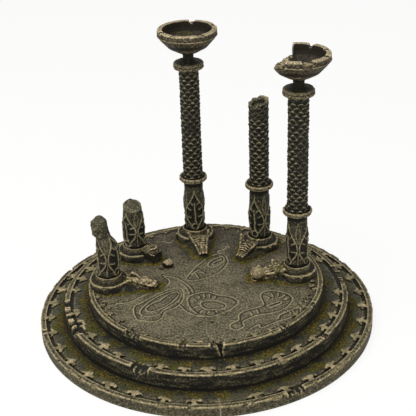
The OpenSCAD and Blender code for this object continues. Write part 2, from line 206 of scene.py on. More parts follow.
def spunMesh(name, profile, step, outerR, start=0.0, sweep=360.0, loop=True):
    # spins rows of (r, z, spacing of the points up to the next row) round Z; a loop's last row joins its first
    points = []
    for (r0, z0, gap), (r1, z1, _) in zip(profile, profile[1:] + (profile[:1] if loop else [])):
        count = max(1, round(math.hypot(r1 - r0, z1 - z0) / (gap * spread)))
        points += [(r0 + (r1 - r0) * i / count, z0 + (z1 - z0) * i / count) for i in range(count)]
    if not loop:
        points.append(profile[-1][:2])
    bm = bmesh.new()
    verts = [bm.verts.new((r, 0, z)) for r, z in points]
    edges = [bm.edges.new(pair) for pair in zip(verts, verts[1:] + (verts[:1] if loop else []))]
    turned(bm, verts, start)
    # a sector is spun and then doubled up by turned copies, which is much quicker than one long spin
    doublings = 4
    count = max(2, round(math.radians(sweep) * outerR / (step * spread) / 2**doublings))
    bmesh.ops.spin(
        bm, geom=verts + edges, cent=(0, 0, 0), axis=(0, 0, 1), dvec=(0, 0, 0),
        angle=math.radians(sweep) / 2**doublings, steps=count, use_merge=False, use_duplicate=False,
    )
    for k in range(doublings):
        copy = bmesh.ops.duplicate(bm, geom=bm.verts[:] + bm.edges[:] + bm.faces[:])["geom"]
        turned(bm, [g for g in copy if isinstance(g, bmesh.types.BMVert)], sweep * 2**k / 2**doublings)
    bmesh.ops.remove_doubles(bm, verts=bm.verts, dist=2e-3)
    if sweep < 360:
        bmesh.ops.edgeloop_fill(bm, edges=[e for e in bm.edges if e.is_boundary])
    bmesh.ops.recalc_face_normals(bm, faces=bm.faces)
    return toMesh(bm, name)


def finishPiece(mesh, nodes, finish, wear, washAndShade, moss=0, pale=0):
    # stores what the paint needs on each vertex, then puts the piece in the frame
    paint = np.zeros((len(mesh.vertices), 4), np.float32)
    # the second channel is the dark wash in the hollows together with painted shade under, behind and at the foot of
    # things
    for channel, values in enumerate((wear, washAndShade, moss, pale)):
        paint[:, channel] = np.clip(values, 0, 1)
    mesh.attributes.new("paint", "FLOAT_COLOR", "POINT").data.foreach_set("color", paint.ravel())
    mesh.transform(Matrix.Scale(1 / metre, 4))
    mesh.shade_smooth()
    material, slot = finishes[finish]
    mesh.materials.append(material)
    piece = inScene(mesh.name, mesh)
    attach(piece, "root")
    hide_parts(*nodes)
    print("piece", mesh.name, len(mesh.polygons), "faces")


def finishOn(key, mesh, points, *rest):
    # moves a piece from its column's own axis, with x along the prow, to its place on the floor, and finishes it
    c, s = math.cos(columns[key]["turn"]), math.sin(columns[key]["turn"])
    points[:, :2] = points[:, :2] @ np.array([(c, s), (-s, c)]) + columns[key]["axis"]
    setMeshPoints(mesh, points)
    finishPiece(mesh, *rest)


# ---- paint
def linear(hexColour):
    channels = [int(hexColour[i : i + 2], 16) / 255 for i in (1, 3, 5)]
    return [c / 12.92 if c <= 0.04045 else ((c + 0.055) / 1.055) ** 2.4 for c in channels] + [1.0]


def addNode(tree, kind, inputs=None, **settings):
    # adds a node, fills or links its inputs, and gives back its outputs
    node = tree.nodes.new("ShaderNode" + kind)
    for key, value in settings.items():
        setattr(node, key, value)
    for key, value in (inputs or {}).items():
        if isinstance(value, bpy.types.NodeSocket):
            tree.links.new(value, node.inputs[key])
        else:
            node.inputs[key].default_value = value
    return node.outputs


def emptyTree(owner):
    owner.use_nodes = True
    owner.node_tree.nodes.clear()
    return owner.node_tree


def paintedResin(name, look):
    # Cast polyurethane resin, sprayed dark, washed in the hollows, dry-brushed on what stands out, and varnished matt:
    # nearly black hollows, dull brown-grey faces, and broken pale tan lines on every edge. The moss is dyed flock.
    material = bpy.data.materials.new(name)
    tree = emptyTree(material)
    place = addNode(tree, "TexCoord")["Object"]
    paint = addNode(tree, "Attribute", attribute_name="paint")
    # the second channel carries the dark wash in the hollows and painted shade, which darken the faces, the brush and
    # the moss alike
    fields = dict(zip(("wear", "washAndShade", "moss"), addNode(tree, "SeparateColor", {0: paint["Color"]})))
    fields["pale"] = paint["Alpha"]
    for key, (cellMm, detail, stretch) in look["clouds"].items():
        vector = addNode(tree, "Mapping", {"Vector": place, "Scale": stretch})[0]
        inputs = {"Vector": vector, "Scale": metre / cellMm, "Detail": detail, "Roughness": 0.62}
        fields[key] = addNode(tree, "TexNoise", inputs)[0]
    for key, shares in look["sums"].items():
        total = 0.0
        for part, share in shares.items():
            total = addNode(tree, "Math", {0: fields[part], 1: share, 2: total}, operation="MULTIPLY_ADD")[0]
        fields[key] = total
    colours = {key: linear(value) for key, value in look["colours"].items()}
    for base, over, field, low, high, first, last in look["layers"]:
        amount = addNode(
            tree, "MapRange", {0: fields[field], 1: low, 2: high, 3: first, 4: last}, interpolation_type="SMOOTHSTEP"
        )[0]
        mixed = {0: amount, 6: colours[base], 7: colours[over]}
        colours[base] = addNode(tree, "Mix", mixed, data_type="RGBA")[2]
    cover = amount  # the last layer is the moss
    tufts = addNode(tree, "Math", {0: fields["flock"], 1: cover}, operation="MULTIPLY")[0]
    tufts = addNode(tree, "Math", {0: tufts, 1: 0.8}, operation="MULTIPLY")[0]
    height = addNode(tree, "Math", {0: fields["grain"], 1: 0.6, 2: tufts}, operation="MULTIPLY_ADD")[0]
    bump = addNode(tree, "Bump", {"Height": height, "Strength": 0.7, "Distance": 0.0003})[0]
    dull = addNode(tree, "Math", {0: fields["patch"], 1: cover}, operation="ADD")[0]
    dull = addNode(tree, "MapRange", {0: dull, 1: 0.3, 2: 1.2, 3: 0.65, 4: 0.92})[0]
    inputs = {"Base Color": colours["stone"], "Roughness": dull, "Normal": bump, "IOR": 1.49}
    shader = addNode(tree, "BsdfPrincipled", inputs | {"Specular IOR Level": 0.2})[0]
    addNode(tree, "OutputMaterial", {"Surface": shader})
    return material


even = (1.0, 1.0, 1.0)
stoneLook = {
    # clouds of noise: grain in millimetres, detail, stretch
    "clouds": {"grain": (1.3, 2.0, even), "speck": (0.715, 1.0, even), "patch": (11.0, 3.0, even),
               "streak": (2.4, 3.0, (0.25, 0.25, 1.0)), "flock": (1.5, 4.0, even), "drift": (8.0, 2.0, even)},
    # how bright the faces are under the wash and the painted shade, what the brush catches, and where the moss is
    # thick, ochre or deep, which it also is in the painted shade
    "sums": {
        "face": {"patch": 0.8, "streak": 0.35, "grain": 1.6, "pale": 1.0, "washAndShade": -1.1},
        "brush": {"speck": 0.9, "streak": 0.3, "grain": 0.9, "wear": 0.85, "washAndShade": -1.1},
        "thick": {"moss": 1.0, "flock": 0.75},
        "ochre": {"drift": 1.0, "moss": 0.5},
        "tuft": {"flock": 1.0, "washAndShade": -0.32},
    },
    # what is covered, with what, by which field, between which values of it, and from which share to which
    "layers": [
        ("stone", "face", "face", 1.0, 1.75, 0.0, 1.0), ("stone", "light", "brush", 1.05, 1.45, 0.0, 0.8),
        ("stone", "edge", "brush", 1.45, 1.95, 0.0, 1.0), ("moss", "ochre", "ochre", 0.78, 0.96, 0.0, 1.0),
        ("moss", "mossDark", "tuft", 0.32, 0.6, 1.0, 0.0), ("moss", "mossTip", "speck", 0.63, 0.76, 0.0, 1.0),
        ("stone", "moss", "thick", 0.7, 0.92, 0.0, 1.0),
    ],
    "colours": {"stone": "#14130d", "face": "#464333", "light": "#857a59", "edge": "#b8a682",
                "moss": "#47471c", "mossDark": "#26200d", "ochre": "#64541d", "mossTip": "#86853c"},
}
tints = {  # what each finish is called, the slot name listed for it, and the colours it changes
    "step": ("Steps", "step_stone_paint", {}),
    "floor": ("Floor", "floor_stone_paint",
              {"stone": "#2a261d", "face": "#645d4a", "light": "#928869", "edge": "#aba07c"}),
    "carved": ("Carving", "carved_stone_paint", {"face": "#453f30"}),
    "head": ("Heads", "head_stone_paint",
             {"stone": "#1e1a10", "face": "#5f563f", "light": "#9a8b69", "edge": "#c0ad88"}),
    "column": ("Columns", "column_stone_paint",
               {"stone": "#11110b", "face": "#403d2f", "light": "#7a7256", "edge": "#aa9e7c"}),
    "collar": ("Collars", "column_stone_paint",
               {"stone": "#14120c", "face": "#423e2f", "light": "#7d7356", "edge": "#ad9d7a"}),
    "bowl": ("Bowls", "bowl_stone_paint",
             {"stone": "#1d190f", "face": "#494231", "light": "#897c60", "edge": "#cdbc9b"}),
    "rubble": ("Rubble", "rubble_stone_paint",
               {"stone": "#1d1a11", "face": "#595039", "light": "#928466", "edge": "#bcab88"}),
}
finishes = {}
for finish, (name, slot, colours) in tints.items():
    look = stoneLook | {"colours": stoneLook["colours"] | colours}
    if finish == "floor":  # the brush has caught more of it
        look["layers"] = [row[:3] + (0.95,) + row[4:] if row[1] == "light" else row for row in stoneLook["layers"]]
    finishes[finish] = (paintedResin("dryBrushedResin" + name, look), slot)

# ---- camera, light and floor
camera = {"place": (0.0, -0.6278, 0.4108), "yaw": 0.32, "pitch": 27.29, "roll": -1.98, "lens": 88.07}
lamps = [
    {"name": "overheadSoftbox", "place": (-0.35, -0.25, 1.1), "size": 1.1, "watts": 11.0},
    {"name": "frontSoftbox", "place": (0.25, -1.2, 0.6), "size": 0.9, "watts": 4.0},
]


def addCamera(look):
    yaw, pitch, roll = (math.radians(look[k]) for k in ("yaw", "pitch", "roll"))
    ahead = Vector((math.sin(yaw) * math.cos(pitch), math.cos(yaw) * math.cos(pitch), -math.sin(pitch)))
    side = Vector((math.cos(yaw), -math.sin(yaw), 0))
    up = side.cross(ahead)
    right = side * math.cos(roll) + up * math.sin(roll)
    top = up * math.cos(roll) - side * math.sin(roll)
    data = bpy.data.cameras.new("studioCamera")
    data.lens, data.sensor_width = look["lens"], 36.0
    data.clip_start, data.clip_end = 0.05, 20.0
    item = inScene("studioCamera", data)
    item.matrix_world = Matrix((right, top, -ahead)).transposed().to_4x4()
    item.location = look["place"]
    bpy.context.scene.camera = item


def addLamp(look):
    data = bpy.data.lights.new(look["name"], "AREA")
    data.shape, data.size, data.energy = "DISK", look["size"], look["watts"]
    item = inScene(look["name"], data)
    item.location = look["place"]
    item.rotation_euler = (Vector((0, 0, 0.05)) - Vector(look["place"])).to_track_quat("-Z", "Y").to_euler()


def seenAsWhite(tree, kind, colour, strength, share):
    # camera, glossy and transmission rays see a share of white; the shader's own light and shadow stay for the rest
    rays = addNode(tree, "LightPath")
    seen = addNode(tree, "Math", {0: rays["Is Camera Ray"], 1: rays["Is Glossy Ray"]}, operation="MAXIMUM")[0]
    seen = addNode(tree, "Math", {0: seen, 1: rays["Is Transmission Ray"]}, operation="MAXIMUM")[0]
    seen = addNode(tree, "Math", {0: seen, 1: share}, operation="MULTIPLY")[0]
    own = addNode(tree, kind, {"Color": linear(colour)} | strength)[0]
    glow = "Background" if kind == "Background" else "Emission"
    white = addNode(tree, glow, {"Color": (1, 1, 1, 1), "Strength": 1.0})[0]
    return addNode(tree, "MixShader", {0: seen, 1: own, 2: white})[0]


def addStage():
    material = bpy.data.materials.new("paleStudioPaper")  # matt paper roll, no sheen
    tree = emptyTree(material)
    addNode(tree, "OutputMaterial", {"Surface": seenAsWhite(tree, "BsdfDiffuse", "#f6f5f2", {}, 0.85)})
    bm = bmesh.new()
    bmesh.ops.create_grid(bm, x_segments=1, y_segments=1, size=6.0)
    mesh = toMesh(bm, "studioFloor")
    mesh.materials.append(material)
    floor = inScene("studioFloor", mesh)
    world = bpy.data.worlds.new("studioWorld")
    bpy.context.scene.world = world
    tree = emptyTree(world)
    addNode(tree, "OutputWorld", {"Surface": seenAsWhite(tree, "Background", "#f5f4f1", {"Strength": 0.5}, 1.0)})


addCamera(camera)
for lamp in lamps:
    addLamp(lamp)
addStage()
bpy.context.scene.view_settings.view_transform = "Standard"
print("camera, lamps and stage made")

# ---- the three steps
# breaks in a rim: azimuth, width along the rim, depth, reach in from the edge
lowerStep = {
    "outerR": 120.0, "rimZ": 8.5, "rimWidth": 4.0, "corner": 0.45, "ledgeZ": 7.3, "ditch": 2.2, "wallR": 102.0,
    "foot": 0.0, "footRows": [(119.5, 0.0, 0.5), (120.0, 0.5, 0.5)], "hidden": 9, "spacing": 0.52, "seed": 100,
    "crockets": 36, "reach": 7.6, "width": 9.6, "crocketSeed": 11, "crocketWear": 0.9, "sunk": 0.9, "under": 0.1,
    "bare": 0.2, "front": 1.0, "pocket": 3.6, "wallShadeAndWash": 0.0, "wallPale": 0.12, "ledgePale": 0.2,
    "seam": -87.0, "seamGap": 0.1,
    "breaks": [(-166.2, 2.4, 3.4, 10.0), (-63.0, 9.5, 2.6, 5.5), (-60.5, 4.0, 1.4, 7.0), (28.0, 5.0, 1.2, 2.4),
               (104.0, 7.0, 1.6, 3.6), (151.0, 4.0, 1.2, 2.6)],
}
middleStep = {
    "outerR": 102.0, "rimZ": 20.0, "rimWidth": 4.0, "corner": 0.5, "ledgeZ": 18.8, "ditch": 2.0, "wallR": topR,
    "foot": 6.9, "footRows": [(102.0, 6.9, 0.55)], "hidden": 12, "spacing": 0.55, "seed": 200,
    "crockets": 38, "reach": 7.2, "width": 8.8, "crocketSeed": 12, "crocketWear": 0.9, "sunk": 0.9, "under": 0.1,
    "bare": 0.3, "front": 1.25, "pocket": 3.4, "wallShadeAndWash": 1.0, "wallPale": 0.0, "ledgePale": 0.12,
    "breaks": [(-115.8, 9.4, 4.6, 5.5), (-118.5, 5.0, 2.8, 8.0), (-153.5, 9.0, 4.6, 6.5), (-158.5, 5.0, 6.8, 8.5),
               (-163.6, 4.5, 3.4, 5.0), (-167.4, 4.6, 6.4, 8.5), (-173.5, 7.0, 4.2, 5.0), (4.0, 10.0, 1.5, 5.4),
               (9.0, 9.0, 1.7, 6.4), (14.0, 7.0, 1.5, 5.2), (-38.5, 5.0, 1.3, 4.6), (74.0, 8.0, 2.2, 4.0)],
}
topStep = {
    "outerR": topR, "rimZ": 30.0, "rimWidth": 3.6, "ledgeZ": floorZ, "foot": 18.4, "spacing": 0.5, "seed": 300,
    "crockets": 40, "reach": 4.4, "width": 5.6, "crocketSeed": 13, "crocketWear": 0.8, "sunk": 0.6, "under": 0.15,
    "breaks": [(-127.2, 11.0, 1.9, 3.6), (-124.5, 5.0, 2.6, 2.8), (-101.5, 4.5, 1.1, 3.0), (-86.2, 7.5, 1.7, 4.4),
               (-52.0, 6.0, 0.7, 3.0), (-28.0, 5.0, 0.8, 3.2), (-166.0, 6.0, 0.7, 2.6), (116.0, 8.0, 1.2, 3.4)],
    "crackAzimuth": -83.9, "crackWidth": 1.25, "crackDepth": 1.7, "flakeDepth": 6.5,
}
# half a leaf: share of its reach in from the rim, share of its width
leaf = [(-1.2, 0.44), (-0.1, 0.34), (0.08, 0.2), (0.25, 0.18), (0.34, 0.29), (0.27, 0.46), (0.32, 0.62), (0.5, 0.6),
        (0.61, 0.42), (0.68, 0.27), (0.88, 0.21), (1.06, 0.07)]


def erodeRim(points, look):
    # wears the outer edge away in small bites, breaks pieces out of the rim, and roughens what is left
    outerR, rimZ, ledgeZ, seed = (look[k] for k in ("outerR", "rimZ", "ledgeZ", "seed"))
    p = points.copy()
    r, unit, azimuth = polar(p)
    z = points[:, 2]
    ring, skin = (np.column_stack([unit * outerR, z * share]) for share in (0.5, 1.0))
    inward = outerR - r
    wall = inward < 0.05
    fromEdge = np.hypot(inward, np.minimum(rimZ - z, 8))
    chip = smooth(0.05, 0.75, rough(ring, 4.5, seed)) * 0.7 + smooth(-0.2, 0.9, rough(ring, 1.6, seed + 1)) * 0.35
    bite = chip * bell(fromEdge, 1.15)
    newR = r - np.where(inward < 4, bite * 0.75, 0)
    newZ = z - np.where(z > ledgeZ - 6, bite * 0.7, 0)
    # faces of the wall: shallow dents that run along it
    dents, grain = rough(skin, (7.0, 7.0, 1.1), seed + 5), rough(skin, 1.3, seed + 6, 2)
    newR -= np.where(wall, 0.12 + 0.12 * dents + 0.06 * grain, 0)
    newZ += np.where((~wall) & (z > ledgeZ - 0.9), 0.09 * rough(ring, 2.2, seed + 7) - 0.06, 0)
    base = max(ledgeZ - 10, 0.0)  # the wall is squeezed down above this, where a break is deep
    for number, (centre, width, depth, reach) in enumerate(look["breaks"]):
        along = np.abs(np.radians(turnFrom(azimuth, centre))) * outerR / (width / 2)
        ragged = 0.16 * noise(np.column_stack([inward, z, along]), 1.4, seed + 40 + number)
        side = smooth(1.08, 0.9, along + ragged)
        back = smooth(reach + 0.35, reach - 0.35, inward + 0.9 * noise(ring, 1.8, seed + 60 + number))
        floor = rimZ - depth * (1 - 0.35 * np.clip(inward / reach, 0, 1)) + 0.35 * rough(ring, 1.7, seed + 80)
        squeezed = base + (z - base).clip(0) * (floor - base) / (rimZ - base)
        lowered = np.where(wall, squeezed, np.minimum(newZ, floor))
        affected = side * back * (z > (ledgeZ - 2.0 if depth < 2 else base + 0.2))
        newZ = newZ + (np.minimum(lowered, newZ) - newZ) * affected
        newR = newR - 0.5 * side * bell(fromEdge, 2.2) * (1 + noise(ring, 1.3, seed + 90))
    p[:, :2] = unit * newR[:, None]
    p[:, 2] = newZ
    return p


def buildCrockets(name, nodes, look, keep):
    # three-pronged leaves that point in from the rim; their tops are inset and raised so that the edges catch the brush
    rng = np.random.default_rng(look["crocketSeed"])
    low, high = look["ledgeZ"] - look["sunk"], look["rimZ"] - look["under"]
    together = bmesh.new()
    for i in range(look["crockets"]):
        azimuth = (i + 0.5) * 360.0 / look["crockets"] - 180.0
        grow, turn, chance = rng.uniform(0.86, 1.08), rng.uniform(-8, 8), rng.uniform()
        jitter, tip = rng.uniform(-0.3, 0.3, (len(leaf) * 2, 2)), rng.uniform(-0.5, 0.3)
        share = keep(azimuth, chance)
        if not share:
            continue
        worn = smooth(62, 35, abs(turnFrom(azimuth, frontAzimuth)))  # the front ones are low and rubbed away
        grow *= share
        reach, width = look["reach"] * grow, look["width"] * grow
        half = [(-1.2 if u < 0 else min(u, 1.1 - 0.4 * worn) * reach, v * width) for u, v in leaf]
        outline = half + [(u, -v) for u, v in reversed(half[:-1])]
        jitter *= 1 + worn
        bm = bmesh.new()
        face = bm.faces.new([bm.verts.new((-u - dx, v + dy, low)) for (u, v), (dx, dy) in zip(outline, jitter)])
        new = bmesh.ops.extrude_face_region(bm, geom=[face])["geom"]
        top = max((g for g in new if isinstance(g, bmesh.types.BMFace)), key=lambda f: len(f.verts))
        bevel = 0.45
        bmesh.ops.translate(bm, verts=list(top.verts), vec=(0, 0, (high - low) * (1 + 0.1 * worn) - bevel))
        bmesh.ops.inset_region(bm, faces=[top], thickness=0.22, depth=0.0, use_even_offset=False)
        bmesh.ops.translate(bm, verts=list(top.verts), vec=(0, 0, bevel))
        bmesh.ops.subdivide_edges(bm, edges=bm.edges[:], cuts=2, use_grid_fill=True)
        for v in bm.verts:  # the free end droops or lifts a little
            v.co.z += (tip + 0.25 * worn) * max(0.0, -v.co.x / look["reach"]) * (v.co.z > low + 0.2)
        bmesh.ops.recalc_face_normals(bm, faces=bm.faces)
        turned(bm, bm.verts, turn)
        bmesh.ops.translate(bm, verts=bm.verts, vec=(look["outerR"] - look["rimWidth"], 0, 0))
        turned(bm, bm.verts, azimuth)
        addMesh(together, bm)
    bmesh.ops.triangulate(together, faces=[f for f in together.faces if len(f.verts) > 4])
    mesh = toMesh(together, name)
    points = meshPoints(mesh)
    setMeshPoints(mesh, points + shiver(points, 1.5, 0.2, look["crocketSeed"]))
    points = meshPoints(mesh)
    rise = smooth(low + 0.4, high - 0.2, points[:, 2])
    proud, _ = standsProud(mesh, 4, 0.3, 0)
    front = smooth(75, 40, np.abs(turnFrom(polar(points)[2], frontAzimuth)))
    brushed = 0.62 * proud - 0.06 + 0.5 * noise(points, 1.7, look["seed"] + 41) + 0.08 * front
    # the leaves get painted shade low down, darkest where they meet the ledge
    finishPiece(mesh, nodes, "step", rise * brushed * look["crocketWear"], 1 - rise, 0, 0.08 * rise)


def cornerMoss(points, look):
    # thickest in the corner under the next step, and in drifts over the ledge at the front
    r, _, azimuth = polar(points)
    drift = rough(points * (1, 1, 0.2), 9.0, look["seed"] + 20)
    faces = smooth(150, 60, np.abs(turnFrom(azimuth, -85)))
    corner = bell(np.maximum(r - look["wallR"], 0), 6.2, 3)
    return (0.58 + 0.14 * drift) * corner + 0.3 * look["front"] * faces * (0.45 + drift) + 0.13 * drift


def wallShadeAndWash(points, r, look):
    # painted shade on the walls, deepest at their foot, broken up by runs of wash along them
    z = points[:, 2]
    wall = smooth(look["outerR"] - 1.2, look["outerR"] - 0.4, r) * smooth(look["rimZ"] - 0.6, look["rimZ"] - 1.6, z)
    runs = rough(points, (9.0, 9.0, 1.5), look["seed"] + 50)
    return wall * np.clip(0.15 + 0.34 * runs + 0.5 * smooth(look["foot"] + 4.5, look["foot"], z), 0, 1)


def edgeLine(points, look):
    # the brush has caught the whole outer edge of the rim, more in some stretches than in others
    r = polar(points)[0]
    edge = bell(np.hypot(look["outerR"] - 0.3 - r, points[:, 2] - look["rimZ"] + 0.3), 0.9)
    inner = bell(np.hypot(look["outerR"] - 3.8 - r, points[:, 2] - look["rimZ"] + 0.1), 0.5)
    stretch = 0.8 + 0.28 * rough(points, 6.0, look["seed"] + 45)
    return np.clip(0.75 * edge * stretch + 0.4 * inner * (1 - stretch + 0.3), 0, 1)


def buildRing(look, node, name, start=0.0, sweep=360.0):
    outerR, rimZ, ledgeZ, wallR, foot = (look[k] for k in ("outerR", "rimZ", "ledgeZ", "wallR", "foot"))
    bore, lipR, hidden, wall = wallR - 8.0, outerR - look["rimWidth"], look["hidden"], 2.4
    profile = [
        (bore, 0.0, hidden), (bore + wall, 0.0, hidden), (bore + wall, ledgeZ - wall, hidden),
        (outerR - wall, ledgeZ - wall, hidden), (outerR - wall, foot, 9), *look["footRows"],
        (outerR, rimZ - look["corner"], 0.3), (outerR - 0.3, rimZ - 0.1, 0.3), (outerR - 0.6, rimZ, 0.5),
        (lipR + 0.3, rimZ, 0.3), (lipR, rimZ - 0.3, 0.4), (lipR, ledgeZ - 0.35, 0.5),
        (lipR - look["ditch"], ledgeZ - 0.35, 0.5), (lipR - look["ditch"] - 0.8, ledgeZ, 0.62),
        (wallR - 0.6, ledgeZ, 0.8), (wallR - 1.2, ledgeZ - 0.4, 3), (bore, ledgeZ - 0.4, hidden),
    ]
    mesh = spunMesh(name, profile, look["spacing"], outerR, start, sweep)
    points = erodeRim(meshPoints(mesh), look)
    r = polar(points)[0]
    onLedge = (r < lipR) & (points[:, 2] > ledgeZ - 1.2)
    moss = cornerMoss(points, look) * onLedge
    points[:, 2] += smooth(0.35, 0.75, moss) * (0.25 + 0.3 * noise(points, 0.9, look["seed"] + 30))
    setMeshPoints(mesh, points)
    z = points[:, 2]
    wear, washAndShade = standsProud(mesh, 10, 0.2, 2)
    wear = most(wear * smooth(foot + look["bare"], foot + 2.5, z), edgeLine(points, look))
    # painted shadow in the ditch just inside the rim, where the rim and the leaves would shade the ledge, on top of the
    # wash there
    pocket = smooth(look["pocket"], 0.6, lipR - r) * (r < lipR + 0.1) * (z < rimZ - 0.35)
    # painted shade in the corner at the foot of the next step's wall, which also darkens the moss there
    corner = 0.95 * onLedge * np.exp(-(r - wallR).clip(0) / 3.0)
    washAndShade = most(washAndShade, 0.85 * pocket, corner, look["wallShadeAndWash"] * wallShadeAndWash(points, r, look))
    pale = look["wallPale"] * ((r > outerR - 0.8) & (z < rimZ - 0.8)) + look["ledgePale"] * onLedge
    finishPiece(mesh, [node], "step", wear, washAndShade, moss, pale)


def buildLowerStep(look):
    # two halves, with a fine seam between them at the front and the back
    sweep, gap = 180.0 - look["seamGap"], look["seamGap"] / 2
    for side, start in (("right", look["seam"] + gap), ("left", look["seam"] + 180 + gap)):
        node = "lower_step_" + side
        low, high = start + 2.5, start + 177.5
        buildCrockets(
            side + "Crockets", [node], look,
            lambda azimuth, chance: low <= azimuth <= high or low <= azimuth + 360 <= high,
        )
        buildRing(look, node, "lowerStep" + side.title(), start, sweep)


def buildMiddleStep(look):
    deep = [row for row in look["breaks"] if row[3] > 4.5]
    buildCrockets(
        "middleCrockets", ["middle_step"], look,
        lambda azimuth, chance: not any(abs(turnFrom(azimuth, row[0])) < row[1] / 3.0 for row in deep),
    )
    buildRing(look, "middle_step", "middleStep")


buildLowerStep(lowerStep)
buildMiddleStep(middleStep)
print("steps made")

# ---- the top platform: its wall and rim, and the floor with the carved figures
topFloor = {
    "cells": 290, "thick": 2.6, "pearl": (3.2, -53.7),
    "lineRise": 0.4, "lineWidth": 0.46, "grooveDepth": 0.4, "grooveWidth": 0.46, "grooveOffset": 0.92,
    "closed": [
        [(-11.6, 8.4), (-4.1, 22.9), (5.4, 33.7), (13.5, 36.3), (16.9, 25.0), (12.1, 12.6), (5.3, 5.6), (-2.0, 1.5),
         (-9.2, -0.3), (-14.0, 1.7)],
        [(2.2, 21.7), (4.8, 27.1), (9.0, 30.5), (13.4, 31.9), (14.2, 27.1), (10.8, 21.8), (6.6, 18.0), (3.4, 18.2)],
        [(5.4, 21.9), (8.5, 25.6), (11.5, 27.8), (12.0, 25.8), (8.9, 21.9), (6.4, 20.4)],
        [(-49.7, -31.5), (-50.0, -39.9), (-47.3, -48.6), (-41.6, -50.6), (-34.3, -51.1), (-29.9, -45.7), (-28.6, -40.3),
         (-20.7, -34.6), (-16.4, -25.3), (-16.4, -14.4), (-19.0, -9.8), (-27.0, -11.9), (-36.8, -19.5), (-45.0, -27.6)],
        [(-46.0, -39.1), (-42.6, -31.0), (-35.0, -20.8), (-25.8, -14.2), (-19.9, -11.9), (-17.5, -16.5), (-18.7, -24.7),
         (-23.3, -31.2), (-28.9, -36.7), (-32.2, -42.1), (-37.8, -44.8), (-43.5, -44.0)],
        [(-41.6, -34.2), (-36.9, -28.2), (-32.6, -25.9), (-29.0, -20.5), (-22.5, -15.3), (-19.3, -16.0), (-20.1, -21.2),
         (-24.4, -28.6), (-29.0, -34.0), (-32.4, -36.5), (-38.0, -39.6), (-40.9, -38.4)],
        [(-12.7, -23.4), (-7.0, -18.4), (1.2, -17.0), (8.1, -21.4), (16.1, -23.7), (20.6, -27.9), (21.8, -32.2),
         (17.8, -38.7), (10.8, -44.0), (2.8, -47.6), (-5.1, -45.8), (-10.4, -38.4), (-12.7, -30.9)],
        [(-4.3, -31.5), (-1.4, -28.5), (6.7, -29.1), (12.3, -32.7), (13.4, -35.9), (11.0, -38.9), (4.1, -39.6),
         (-1.5, -38.0)],
        [(38.3, -22.7), (42.1, -18.5), (50.2, -19.1), (56.9, -22.9), (59.8, -28.9), (58.0, -35.2), (52.9, -42.0),
         (44.6, -46.3), (34.3, -48.7), (27.2, -53.3), (24.0, -56.3), (24.4, -61.5), (18.9, -65.0), (15.5, -62.4),
         (15.9, -58.1), (21.1, -53.9), (21.6, -47.8), (24.4, -43.9), (29.6, -41.2), (37.2, -38.0), (39.4, -35.2),
         (38.5, -29.2)],
        [(41.8, -37.4), (46.6, -34.6), (50.8, -32.1), (51.4, -34.7), (47.6, -37.2), (43.4, -39.2)],
        [(18.7, 46.2), (17.4, 47.5), (16.1, 46.2), (17.4, 44.9)],
    ],
    "open": [
        [(-10.1, 7.9), (-4.8, 15.0)], [(-7.2, 9.5), (-5.0, 2.4)], [(-5.2, 14.2), (-1.0, 9.6)],
        [(-62.6, -27.4), (-53.4, -25.9), (-42.1, -16.5), (-30.6, -8.9), (-25.9, -0.7), (-30.3, 7.5)],
        [(-18.7, -32.6), (-13.9, -40.7), (-7.3, -46.1), (-1.7, -47.9)],
        [(27.7, -65.6), (34.6, -59.8), (36.0, -64.2), (47.1, -57.0), (55.2, -53.2), (62.5, -49.6), (63.4, -41.4),
         (56.0, -45.1), (49.4, -49.1), (48.2, -53.7)],
        [(-30.9, 8.2), (-21.2, 4.0), (-15.0, -3.3), (-10.7, -10.4), (-9.1, -16.7)],
        [(-17.8, -3.5), (-14.0, -10.1), (-11.7, -18.0)], [(13.5, 36.3), (9.7, 39.9), (16.1, 44.5)],
        [(-37.5, 58.1), (-31.8, 59.0), (-26.6, 56.5), (-24.1, 60.5)],
        [(52.5, -44.6), (54.2, -47.0)], [(55.0, -43.4), (57.0, -46.6)], [(57.6, -43.0), (59.4, -46.4)],
        [(-9.0, -24.5), (-7.5, -27.0)], [(-5.5, -21.5), (-4.6, -24.5)], [(-1.5, -19.8), (-1.2, -23.0)],
        [(2.5, -19.8), (2.3, -23.2)], [(6.5, -22.6), (5.8, -25.6)], [(-8.6, -36.0), (-5.8, -34.5)],
        [(-4.6, -42.4), (-3.0, -40.2)], [(0.6, -44.6), (1.2, -41.8)], [(6.6, -43.4), (6.2, -41.2)],
        [(41.5, -24.5), (44.0, -27.5)], [(45.6, -21.4), (46.6, -25.0)], [(50.6, -21.6), (50.2, -25.4)],
        [(54.8, -25.0), (52.6, -27.4)], [(56.8, -29.4), (53.6, -30.2)], [(29.4, -44.2), (30.8, -47.4)],
        [(34.4, -41.8), (35.0, -46.0)],
    ],
}


def nearPlinths(points):
    # millimetres from each flat point to the nearest plinth or prow foot
    best = np.full(len(points), 1e9)
    for column in columns.values():
        d = points - column["axis"]
        c, s = math.cos(column["turn"]), math.sin(column["turn"])
        x, y = d[:, 0] * c + d[:, 1] * s, d[:, 1] * c - d[:, 0] * s
        half = 15.2 + (4.3 - 15.2) * np.clip(x / column["prow"], 0, 1)
        prow = most(np.abs(y) - half, -x, x - column["prow"])
        best = np.minimum(best, np.minimum(np.hypot(x, y) - 14.0, prow))
    return best


